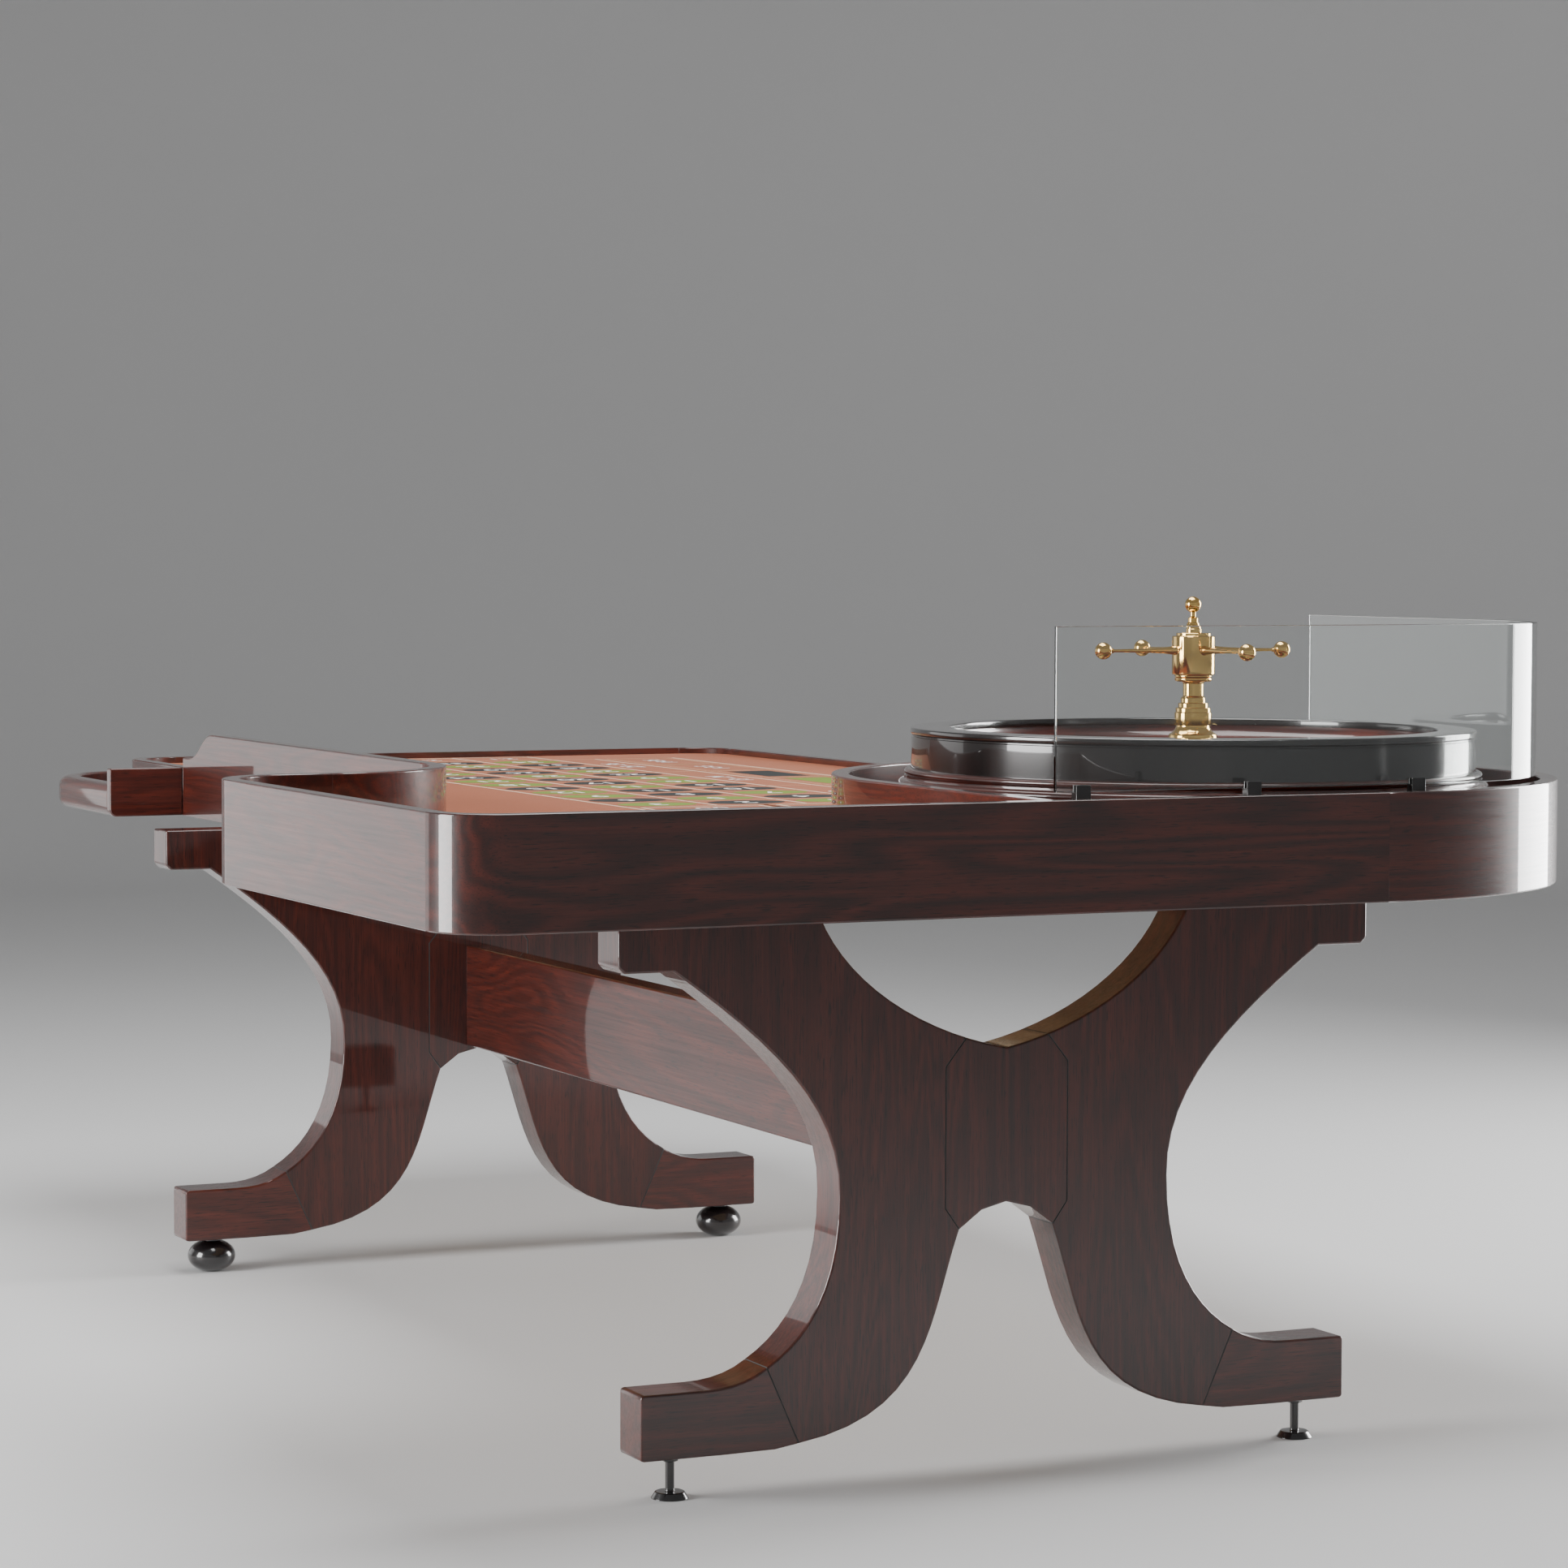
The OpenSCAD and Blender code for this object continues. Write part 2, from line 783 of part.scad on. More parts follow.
// A beaded moulding round the foot of the bowl
module base_moulding() {
    plinth_r = bowl_r + 8;
    bead_r = bowl_r + 18;
    color("#4a2018")
        turned(concat([[bowl_r, base_t], [plinth_r, base_t], [plinth_r, 50], [plinth_r + 4, 53]],
                      arc(bead_r - 7, 62, 7, -80, 80, 6),
                      [[bead_r - 9, 71], [bead_r - 9, 74]],
                      arc(bowl_r + 4, 79, 5, -60, 80, 5),
                      [[bowl_r, 85]]));
}

module rim_cap() {
    edge = 2;
    color("#141414")
        turned([[track_r, track_z], [bowl_r, track_z], [bowl_r + 0.5, track_z + 1],
                [bowl_r + 0.5, bowl_h - edge], [bowl_r - edge, bowl_h], [track_r + edge, bowl_h],
                [track_r, bowl_h - edge]]);
}

// The hollow track that the ball runs in, and the slope down to the rotor
module ball_track() {
    groove = curve([track_r + 3, track_z], [track_r + 1, track_z - 14], [track_r - 12, groove_z],
                   [track_r - groove_w, groove_z], 8);
    color("#3a1a12")
        turned(concat(groove, [[stator_r, stator_z], [stator_r, stator_z - 28],
                               [bowl_r - shell_t, stator_z - 28], [bowl_r - shell_t, track_z]]));
}

stops = 8;

// Diamond stops on the slope, lying along it and across it by turns
module ball_stops() {
    slope_a = atan2(groove_z - stator_z, slope_w);
    at_r = stator_r + slope_w / 2;
    at_z = (groove_z + stator_z) / 2;
    long_r = 17;
    short_r = 6;
    color("gold")
        translate([wheel_x, wheel_y, z_deck])
            for (i = [0:stops - 1])
                rotate([0, 0, 360 / stops * (i + 0.5)])
                    translate([at_r, 0, at_z])
                        rotate([0, -slope_a, i % 2 * 90])
                            rotate([i % 2 * slope_a, i % 2 * slope_a, 0])
                                translate([0, 0, -1])
                                    linear_extrude(6)
                                        polygon([[long_r, 0], [0, short_r], [-long_r, 0], [0, -short_r]]);
}

module spindle() {
    flange_r = 60;
    color("silver")
        turned([[0, base_t], [flange_r, base_t], [flange_r, base_t + 6], [spindle_r + 6, base_t + 10],
                [spindle_r + 6, hub_z - 1], [spindle_r, hub_z - 1], [spindle_r, spindle_h - 1],
                [spindle_r - 1, spindle_h], [0, spindle_h]]);
}

// A bearing whose bore runs on the spindle
module bearing(z) {
    color("lightgray")
        turned([[spindle_r + run_fit, z], [bearing_r, z], [bearing_r, z + bearing_h],
                [spindle_r + run_fit, z + bearing_h]]);
}

module rotor_bearings() {
    bearing(low_bearing_z);
    bearing(high_bearing_z);
}

// The rotor's underside with its hub, bored for the bearings
module rotor_dish() {
    low = low_bearing_z;
    high = high_bearing_z;
    shoulder_r = spindle_r + 3;
    color("#6a3a20")
        turned([[bearing_r, hub_z], [hub_r, hub_z], [hub_r, dish_z], [rotor_r, dish_z],
                [rotor_r, dish_z + dish_t], [hub_r, dish_z + dish_t], [hub_r, high + bearing_h],
                [bearing_r, high + bearing_h], [bearing_r, high], [shoulder_r, high],
                [shoulder_r, low + bearing_h], [bearing_r, low + bearing_h]]);
}

module number_ring() {
    color("#1a1a1a")
        turned([[number_in, dish_z + dish_t], [rotor_r, dish_z + dish_t], [rotor_r, stator_z - 2],
                [number_in, stator_z - 8]]);
}

// The ring of pockets: a floor, and a fret between each two pockets
module pocket_ring() {
    floor_z = dish_z + dish_t + 6;
    fret_top = stator_z - 9;
    fret_t = 2;
    color("silver") {
        turned([[pocket_in, dish_z + dish_t], [number_in, dish_z + dish_t], [number_in, floor_z],
                [pocket_in, floor_z]]);
        translate([wheel_x, wheel_y, z_deck])
            for (i = [0:pockets - 1])
                rotate([0, 0, 360 / pockets * i])
                    translate([pocket_in + 0.5, -fret_t / 2, floor_z - eps])
                        cube([number_in - pocket_in - 1, fret_t, fret_top - floor_z]);
    }
}

// The polished cone from the pockets up to the turret
module rotor_cone() {
    skin = curve([pocket_in, stator_z - 7], [pocket_in - 50, stator_z - 2],
                 [(pocket_in + hub_r) / 2, cone_z - 8],
                 [hub_r + 8, cone_z], 12);
    color("#5a2a1a")
        turned(concat([[hub_r, dish_z + dish_t], [pocket_in, dish_z + dish_t]], skin,
                      [[spindle_r + 3, cone_z], [spindle_r + 3, cone_z - 14], [hub_r, cone_z - 14]]));
}

// ---------------------------------------------------------------- turret
// Heights below are above the bowl's rim.

drum_r = 31;
drum_low = 76;
drum_top = 136;
neck_r = 14.6;
socket_r = 4;
socket_l = 12;
arm_root_r = 7;
arm_tip_r = 2;
spot = 0.8;

module cast(points) {
    translate([wheel_x, wheel_y, z_rim])
        rotate_extrude()
            polygon(points);
}

// The flared foot, the stepped bell and the neck
module turret_foot() {
    foot_z = cone_z - bowl_h;
    color("goldenrod")
        cast(concat([[0, foot_z], [40, foot_z], [40, foot_z + 4]],
                    curve([37, foot_z + 6], [36, foot_z + 16], [28, foot_z + 22], [27, 4], 6),
                    [[27, 22], [25, 24], [25, 29], [22, 31], [22, 36], [18.5, 38], [18.5, 43],
                     [neck_r, 47], [neck_r, 63], [17, 66], [0, 66]]));
}

// The drum that the arms stand in, with a bead below it
module turret_drum() {
    color("gold")
        difference() {
            cast(concat([[0, 66], [22, 66]], arc(23.5, 69.5, 3.5, -90, 90, 6),
                        [[27, 73], [27, drum_low - 1], [28, drum_low], [drum_r - 1, drum_low],
                         [drum_r, drum_low + 1], [drum_r, drum_top - 6], [drum_r - 2, drum_top - 5],
                         [drum_r - 2, drum_top - 1], [drum_r - 4, drum_top], [0, drum_top]]));
            arm_frames() {
                translate([0, 0, drum_r - spot])
                    cylinder(r = arm_root_r + fit, h = 2 * spot, $fn = 32);
                translate([0, 0, drum_r - socket_l])
                    cylinder(r = socket_r + fit, h = socket_l, $fn = 32);
            }
        }
}

// Places its children along each arm, outwards from the turret's axis
module arm_frames() {
    for (a = [0:90:270])
        translate([wheel_x, wheel_y, z_rim + arm_rise])
            rotate([0, 90, a])
                children();
}

module turret_arms() {
    color("gold")
        arm_frames() {
            translate([0, 0, drum_r - socket_l + fit])
                cylinder(r = socket_r, h = socket_l, $fn = 32);
            translate([0, 0, drum_r - spot])
                cylinder(r1 = arm_root_r, r2 = arm_tip_r, h = arm_reach - drum_r + spot - arm_ball_r + 1);
            translate([0, 0, arm_reach])
                sphere(r = arm_ball_r, $fn = 48);
        }
}

// The small vase and ball on top
module turret_finial() {
    ball_r = 11.7;
    stalk_r = 3.9;
    ball_z = drum_top + 40.5;
    a0 = -acos(stalk_r / ball_r);
    color("gold")
        cast(concat([[0, drum_top], [13, drum_top], [13, drum_top + 3]],
                    curve([11, drum_top + 5], [12, drum_top + 12], [7, drum_top + 13], [7, drum_top + 18], 6),
                    [[8, drum_top + 19], [8, drum_top + 21], [stalk_r, drum_top + 24]],
                    arc(0, ball_z, ball_r, a0, 90, 16)));
}

// ---------------------------------------------------------------- feet
bush_r = 10;
bush_l = 40;
stem_l = 52;
collar_h = 4;
ball_gap = 0.5;

module bush(x, side) {
    translate([x, side * (foot_reach - stem_in), foot_lift])
        difference() {
            cylinder(r = bush_r - fit, h = bush_l, $fn = 32);
            translate([0, 0, -1])
                cylinder(r = stem_d / 2 + run_fit, h = bush_l + 2);
        }
}

module stem_bushes() {
    color("silver")
        for (x = [near_x, far_x], side = [-1, 1])
            bush(x, side);
}

// A black ball, flatter than round, under a collar and a threaded stem
module ball_foot(side) {
    ball_h = foot_lift - ball_gap - collar_h + 2;
    flat_a = -68;
    oval = [for (i = [0:16]) let(a = flat_a + (90 - flat_a) * i / 16)
        [ball_d / 2 * cos(a), ball_h / 2 * (sin(a) - sin(flat_a)) / (1 - sin(flat_a)) * 2]];
    color("black")
        translate([far_x, side * (foot_reach - stem_in), 0]) {
            rotate_extrude()
                polygon(concat([[0, 0]], oval));
            translate([0, 0, foot_lift - ball_gap - collar_h])
                cylinder(r = 15, h = collar_h);
            translate([0, 0, foot_lift - ball_gap - 1])
                cylinder(r = stem_d / 2, h = bush_l);
        }
}

module far_left_ball_foot() { ball_foot(-1); }
module far_right_ball_foot() { ball_foot(1); }

// A slim levelling foot: a pad, a stem and a hexagon to turn it by
module levelling_pad(side) {
    pad_h = 9;
    nut_h = 8;
    color("black")
        translate([near_x, side * (foot_reach - stem_in), 0]) {
            cylinder(r1 = pad_d / 2, r2 = pad_d / 2 - 6, h = pad_h);
            cylinder(r = stem_d / 2, h = foot_lift - ball_gap + bush_l);
            translate([0, 0, foot_lift - ball_gap - nut_h])
                cylinder(r = 11, h = nut_h, $fn = 6);
        }
}

module near_left_pad() { levelling_pad(-1); }
module near_right_pad() { levelling_pad(1); }

near_left_leg();
near_right_leg();
near_centre_block();
near_left_foot();
near_right_foot();
far_left_leg();
far_right_leg();
far_centre_block();
far_left_foot();
far_right_foot();
trestle_dowels();
stretcher();
cross_bearers();
side_bearers();
trestle_bolts();
bolt_washers();
wheel_end_apron();
left_apron();
recess_corner();
backboard();
left_low_apron();
far_left_corner();
far_apron();
far_right_corner();
right_apron();
well_outer_wall();
well_inner_wall();
near_deck();
far_deck();
playing_cloth();
ledge_floor();
ledge_rail_left();
ledge_rail_far();
ledge_rail_right();
ledge_end_panels();
ledge_plates();
ledge_screws();
glass_screen();
screen_clamps();
bowl_base();
bowl_shell();
base_moulding();
rim_cap();
ball_track();
ball_stops();
spindle();
rotor_bearings();
rotor_dish();
number_ring();
pocket_ring();
rotor_cone();
turret_foot();
turret_drum();
turret_arms();
turret_finial();
far_left_ball_foot();
far_right_ball_foot();
near_left_pad();
near_right_pad();
stem_bushes();
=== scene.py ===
"""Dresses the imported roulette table: rounded boards, turned wheel parts, printed cloth and finishes."""

import logging
import math
from collections.abc import Sequence
from dataclasses import dataclass, field
from enum import Enum

import bmesh
import bpy
from mathutils import Matrix, Vector
from mathutils.kdtree import KDTree


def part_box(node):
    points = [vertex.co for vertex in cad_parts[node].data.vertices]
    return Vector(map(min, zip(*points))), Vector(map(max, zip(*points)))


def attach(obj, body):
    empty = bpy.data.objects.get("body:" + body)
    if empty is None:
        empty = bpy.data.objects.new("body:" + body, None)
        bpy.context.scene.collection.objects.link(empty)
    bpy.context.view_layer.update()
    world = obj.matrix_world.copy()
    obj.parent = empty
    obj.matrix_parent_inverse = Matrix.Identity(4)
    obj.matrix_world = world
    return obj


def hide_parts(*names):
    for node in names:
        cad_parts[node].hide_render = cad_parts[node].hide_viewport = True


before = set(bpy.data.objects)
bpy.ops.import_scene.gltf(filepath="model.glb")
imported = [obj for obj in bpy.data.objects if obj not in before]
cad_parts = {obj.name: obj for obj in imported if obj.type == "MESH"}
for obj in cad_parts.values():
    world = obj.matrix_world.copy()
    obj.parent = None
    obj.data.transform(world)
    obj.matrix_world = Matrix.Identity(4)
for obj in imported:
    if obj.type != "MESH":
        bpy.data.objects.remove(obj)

LOG = logging.getLogger("roulette_table")
Colour = tuple[float, float, float]
Point = tuple[float, float]
Coords = tuple[float, float, float]


class Grain(Enum):
    """The way the grain of a board runs, as the turn that lays its own long axis along X."""

    ALONG_X = (0.0, 0.0, 0.0)
    ALONG_Y = (0.0, 0.0, -math.pi / 2)
    UPRIGHT = (0.0, math.pi / 2, 0.0)
    ROUND = None


# ---------------------------------------------------------------- finishes


class Nodes:
    """A short way to build one material's node tree."""

    def __init__(self, name: str) -> None:
        """Makes an empty material.

        Args:
            name: The material's name.
        """
        self.material = bpy.data.materials.new(name)
        self.material.use_nodes = True
        self.tree = self.material.node_tree
        self.tree.nodes.clear()
        self.output = self.tree.nodes.new("ShaderNodeOutputMaterial")
        self.shader = self.tree.nodes.new("ShaderNodeBsdfPrincipled")
        self.link(self.shader.outputs[0], self.output.inputs["Surface"])

    def link(self, a: bpy.types.NodeSocket, b: bpy.types.NodeSocket) -> None:
        """Joins an output to an input."""
        self.tree.links.new(a, b)

    def set(self, **values: object) -> None:
        """Sets constants on the shader's own sockets; an underscore in a name stands for a space."""
        for name, value in values.items():
            self.shader.inputs[name.replace("_", " ")].default_value = value

    def feed(self, socket: bpy.types.NodeSocket, value: object) -> None:
        """Links a socket to an output, or sets it to a plain value.

        Args:
            socket: The input to fill.
            value: An output, or a plain value.
        """
        if isinstance(value, bpy.types.NodeSocket):
            self.link(value, socket)
        else:
            socket.default_value = value

    def math(self, operation: str, *values: object) -> bpy.types.NodeSocket:
        """Adds a Math node.

        Args:
            operation: The operation's name.
            values: Its inputs, as sockets or numbers.

        Returns:
            The node's output.
        """
        node = self.tree.nodes.new("ShaderNodeMath")
        node.operation = operation
        for socket, value in zip(node.inputs, values):
            self.feed(socket, value)
        return node.outputs[0]

    def coords(self) -> bpy.types.NodeSocket:
        """The piece's own Object coordinates."""
        return self.tree.nodes.new("ShaderNodeTexCoord").outputs["Object"]

    def scaled(self, vector: object, scale: Coords, place: Coords = (0, 0, 0)) -> bpy.types.NodeSocket:
        """Stretches and moves a vector.

        Args:
            vector: The vector, as an output.
            scale: The stretch along each axis.
            place: The move along each axis.

        Returns:
            The changed vector.
        """
        node = self.tree.nodes.new("ShaderNodeMapping")
        self.feed(node.inputs["Vector"], vector)
        node.inputs["Scale"].default_value = scale
        node.inputs["Location"].default_value = place
        return node.outputs[0]

    def turned(self, vector: object, angles: Coords) -> bpy.types.NodeSocket:
        """Turns a vector by Euler angles.

        Args:
            vector: The vector, as an output.
            angles: The turns about X, Y and Z, in radians.

        Returns:
            The turned vector.
        """
        node = self.tree.nodes.new("ShaderNodeMapping")
        self.feed(node.inputs["Vector"], vector)
        node.inputs["Rotation"].default_value = angles
        return node.outputs[0]

    def noise(self, vector: object, scale: float, detail: float = 3.0, roughness: float = 0.5,
              distortion: float = 0.0) -> bpy.types.NodeSocket:
        """Adds a Noise texture and returns its value.

        Args:
            vector: Where the texture is read.
            scale: The texture's scale.
            detail: Its detail.
            roughness: Its roughness.
            distortion: Its distortion.

        Returns:
            The texture's value.
        """
        node = self.tree.nodes.new("ShaderNodeTexNoise")
        self.feed(node.inputs["Vector"], vector)
        for name, value in (("Scale", scale), ("Detail", detail), ("Roughness", roughness),
                            ("Distortion", distortion)):
            node.inputs[name].default_value = value
        return node.outputs["Fac"]

    def ramp(self, value: object, stops: Sequence[tuple[float, Colour]]) -> bpy.types.NodeSocket:
        """Maps a value to colours.

        Args:
            value: The input value.
            stops: Places from 0 to 1, each with a colour.

        Returns:
            The colour.
        """
        node = self.tree.nodes.new("ShaderNodeValToRGB")
        self.feed(node.inputs[0], value)
        row = node.color_ramp.elements
        while len(row) < len(stops):
            row.new(0.5)
        for element, (place, colour) in zip(row, stops):
            element.position = place
            element.color = (*colour, 1)
        return node.outputs["Color"]

    def spread(self, value: object, low: float, high: float, to_low: float = 0.0,
               to_high: float = 1.0) -> bpy.types.NodeSocket:
        """Maps a value from one range to another and holds it there.

        Args:
            value: The value to map.
            low: Where its range starts.
            high: Where its range ends.
            to_low: Where the new range starts.
            to_high: Where the new range ends.

        Returns:
            The mapped value.
        """
        node = self.tree.nodes.new("ShaderNodeMapRange")
        self.feed(node.inputs["Value"], value)
        ends = (("From Min", low), ("From Max", high), ("To Min", to_low), ("To Max", to_high))
        for name, number in ends:
            node.inputs[name].default_value = number
        return node.outputs["Result"]

    def mix(self, share: object, a: object, b: object, blend: str = "MIX") -> bpy.types.NodeSocket:
        """Mixes two colours.

        Args:
            share: The share of the second colour.
            a: The first colour.
            b: The second colour.
            blend: How the two are blended.

        Returns:
            The mixed colour.
        """
        node = self.tree.nodes.new("ShaderNodeMix")
        node.data_type = "RGBA"
        node.blend_type = blend
        for socket, value in ((node.inputs[0], share), (node.inputs[6], a), (node.inputs[7], b)):
            self.feed(socket, (*value, 1) if isinstance(value, tuple) else value)
        return node.outputs[2]

    def bump(self, height: object, strength: float, distance: float, *targets: str) -> None:
        """Bumps the surface by a height, on the named normal inputs of the shader.

        Args:
            height: The height, as an output.
            strength: The bump's strength.
            distance: The bump's depth in metres.
            *targets: The names of the shader's normal inputs.
        """
        node = self.tree.nodes.new("ShaderNodeBump")
        node.inputs["Strength"].default_value = strength
        node.inputs["Distance"].default_value = distance
        self.feed(node.inputs["Height"], height)
        for name in targets or ("Normal",):
            self.link(node.outputs[0], self.shader.inputs[name])

    def round_coords(self, centre: Point, radius: float) -> bpy.types.NodeSocket:
        """Coordinates that follow a round wall: along the wall, across its thickness, and up.

        Args:
            centre: The wall's centre in X and Y.
            radius: The radius at which the length along the wall is true.

        Returns:
            The vector.
        """
        part = self.tree.nodes.new("ShaderNodeSeparateXYZ")
        self.link(self.scaled(self.coords(), (1, 1, 1), (-centre[0], -centre[1], 0)), part.inputs[0])
        x, y, z = part.outputs
        away = self.math("SQRT", self.math("ADD", self.math("MULTIPLY", x, x), self.math("MULTIPLY", y, y)))
        along = self.math("MULTIPLY", self.math("ARCTAN2", y, x), radius)
        whole = self.tree.nodes.new("ShaderNodeCombineXYZ")
        for socket, value in zip(whole.inputs, (along, away, z)):
            self.feed(socket, value)
        return whole.outputs[0]


@dataclass(frozen=True)
class LacqueredWood:
    """Figured wood under a clear polished lacquer."""

    name: str
    dark: Colour
    middle: Colour
    light: Colour
    grain: Grain = Grain.ALONG_X
    centre: Point = (0.0, 0.0)
    radius: float = 0.5
    seed: float = 0.0
    figure: float = 0.16
    coat: float = 1.0
    coat_roughness: float = 0.035

    def make(self) -> bpy.types.Material:
        """Builds the material.

        Returns:
            The material.
        """
        n = Nodes(self.name)
        if self.grain is Grain.ROUND:
            lie = n.round_coords(self.centre, self.radius)
        else:
            lie = n.turned(n.coords(), self.grain.value)
        lie = n.scaled(lie, (1, 1, 1), (self.seed * 1.7, self.seed * 0.9, self.seed * 2.3))
        hills = n.noise(n.scaled(lie, (0.8, 6.5, 6.5)), 1.0, 2.0, 0.45, 0.6)
        rings = n.math("SINE", n.math("MULTIPLY", hills, 125.0))
        rings = n.spread(rings, -1.0, 1.0)
        streaks = n.noise(n.scaled(lie, (3.0, 170.0, 170.0)), 1.0, 4.0, 0.65, 0.3)
        fibres = n.noise(n.scaled(lie, (9.0, 520.0, 520.0)), 1.0, 2.0, 0.6)
        pores = n.spread(n.noise(n.scaled(lie, (38.0, 620.0, 620.0)), 1.0, 1.0, 0.5), 0.60, 0.68)
        patches = n.noise(n.scaled(lie, (1.1, 2.6, 2.6), (3.1, 0.4, 1.9)), 1.0, 2.0)
        tone = n.math("ADD", n.math("MULTIPLY", rings, self.figure),
                      n.math("ADD", n.math("MULTIPLY", streaks, 0.55), n.math("MULTIPLY", patches, 0.30)))
        stops = ((0.0, self.dark), (0.5, self.middle), (1.0, self.light))
        colour = n.ramp(n.spread(tone, 0.24, 0.62 + self.figure), stops)
        colour = n.mix(n.spread(fibres, 0.45, 0.75, 0.0, 0.45), colour, self.dark)
        colour = n.mix(n.math("MULTIPLY", pores, 0.7), colour, tuple(0.3 * v for v in self.dark))
        n.link(colour, n.shader.inputs["Base Color"])
        n.link(n.spread(streaks, 0.3, 0.7, 0.42, 0.3), n.shader.inputs["Roughness"])
        n.set(Coat_Weight=self.coat, Coat_Roughness=self.coat_roughness, Coat_IOR=1.5,
              Specular_IOR_Level=0.35)
        n.bump(n.math("SUBTRACT", fibres, pores), 0.12, 0.0003, "Normal")
        return n.material


@dataclass(frozen=True)
class PlainWood:
    """Bare wood of the hidden frame, sawn and sanded."""

    name: str
    colour: Colour
    grain: Grain = Grain.ALONG_X

    def make(self) -> bpy.types.Material:
        """Builds the material.

        Returns:
            The material.
        """
        n = Nodes(self.name)
        lie = n.turned(n.coords(), self.grain.value)
        streaks = n.noise(n.scaled(lie, (4.0, 70.0, 70.0)), 1.0, 4.0, 0.6, 0.4)
        fibres = n.noise(n.scaled(lie, (20.0, 420.0, 420.0)), 1.0, 2.0)
        darker = tuple(0.55 * v for v in self.colour)
        n.link(n.mix(n.spread(streaks, 0.35, 0.7), self.colour, darker), n.shader.inputs["Base Color"])
        n.set(Roughness=0.62)
        n.bump(n.math("ADD", streaks, fibres), 0.25, 0.0004)
        return n.material


@dataclass(frozen=True)
class VeneeredBoard:
    """Plywood whose upper face, above a height, is stained and lacquered."""

    name: str
    core: Colour
    face: Colour
    face_z: float

    def make(self) -> bpy.types.Material:
        """Builds the material.

        Returns:
            The material.
        """
        n = Nodes(self.name)
        part = n.tree.nodes.new("ShaderNodeSeparateXYZ")
        n.link(n.coords(), part.inputs[0])
        above = n.math("GREATER_THAN", part.outputs["Z"], self.face_z)
        streaks = n.noise(n.scaled(n.coords(), (4.0, 80.0, 80.0)), 1.0, 4.0, 0.6, 0.4)
        share = n.spread(streaks, 0.35, 0.7)
        core = n.mix(share, self.core, tuple(0.55 * v for v in self.core))
        face = n.mix(share, self.face, tuple(0.4 * v for v in self.face))
        n.link(n.mix(above, core, face), n.shader.inputs["Base Color"])
        n.link(n.spread(above, 0.0, 1.0, 0.62, 0.4), n.shader.inputs["Roughness"])
        n.link(above, n.shader.inputs["Coat Weight"])
        n.set(Coat_Roughness=0.05)
        return n.material


@dataclass(frozen=True)
class BlackLacquer:
    """Deep black polished lacquer with faint unevenness."""

    name: str
    colour: Colour = (0.006, 0.0055, 0.0055)
    roughness: float = 0.16
    coat_roughness: float = 0.02

    def make(self) -> bpy.types.Material:
        """Builds the material.

        Returns:
            The material.
        """
        n = Nodes(self.name)
        waves = n.noise(n.coords(), 9.0, 2.0)
        wear = n.noise(n.coords(), 3.0, 3.0)
        brown = (self.colour[0] * 2.2, self.colour[1] * 1.5, self.colour[2] * 1.3)
        n.link(n.mix(n.spread(waves, 0.35, 0.75), self.colour, brown), n.shader.inputs["Base Color"])
        n.link(n.spread(wear, 0.3, 0.8, self.roughness, self.roughness + 0.06), n.shader.inputs["Roughness"])
        n.set(Coat_Weight=1.0, Coat_Roughness=self.coat_roughness)
        return n.material


@dataclass(frozen=True)
class Metal:
    """A metal with fine turning or drawing marks."""

    name: str
    colour: Colour
    tarnish: Colour
    roughness: float
    marks: float = 0.1

    def make(self) -> bpy.types.Material:
        """Builds the material.

        Returns:
            The material.
        """
        n = Nodes(self.name)
        cloud = n.noise(n.coords(), 24.0, 4.0, 0.6)
        lines = n.noise(n.scaled(n.coords(), (30.0, 30.0, 1400.0)), 1.0, 2.0)
        n.link(n.mix(n.spread(cloud, 0.5, 0.85, 0.0, 0.5), self.colour, self.tarnish),
               n.shader.inputs["Base Color"])
        smear = n.math("ADD", n.spread(cloud, 0.3, 0.8, self.roughness * 0.8, self.roughness * 1.5),
                       n.math("MULTIPLY", lines, self.roughness * 0.4))
        n.link(smear, n.shader.inputs["Roughness"])
        n.set(Metallic=1.0)
        n.bump(lines, self.marks, 0.0001)
        return n.material


@dataclass(frozen=True)
class ClearGlass:
    """Clear toughened glass with a faint film on it."""

    name: str

    def make(self) -> bpy.types.Material:
        """Builds the material.

        Returns:
            The material.
        """
        n = Nodes(self.name)
        film = n.noise(n.coords(), 6.0, 3.0, 0.6)
        n.link(n.mix(n.spread(film, 0.4, 0.8, 0.0, 0.4), (0.97, 0.99, 0.985), (0.93, 0.965, 0.955)),
               n.shader.inputs["Base Color"])
        n.link(n.spread(film, 0.45, 0.85, 0.0, 0.02), n.shader.inputs["Roughness"])
        n.set(IOR=1.46, Transmission_Weight=1.0)
        return n.material


@dataclass(frozen=True)
class GamingCloth:
    """Closely napped wool cloth."""

    name: str
    colour: Colour
    fleck: Colour

    def make(self) -> bpy.types.Material:
        """Builds the material.

        Returns:
            The material.
        """
        n = Nodes(self.name)
        nap = n.noise(n.coords(), 900.0, 3.0, 0.7)
        brushed = n.noise(n.scaled(n.coords(), (60.0, 420.0, 420.0)), 1.0, 3.0, 0.6, 0.5)
        worn = n.noise(n.coords(), 2.2, 3.0, 0.55)
        colour = n.mix(n.spread(nap, 0.4, 0.75), self.colour, self.fleck)
        colour = n.mix(n.spread(worn, 0.45, 0.8, 0.0, 0.22), colour, tuple(0.6 * v for v in self.colour))
        n.link(colour, n.shader.inputs["Base Color"])
        n.link(n.spread(brushed, 0.3, 0.7, 0.82, 0.95), n.shader.inputs["Roughness"])
        n.set(Sheen_Weight=0.12, Sheen_Roughness=0.4, Sheen_Tint=(1.0, 0.75, 0.6, 1.0))
        n.bump(n.math("ADD", nap, brushed), 0.35, 0.0003)
        return n.material


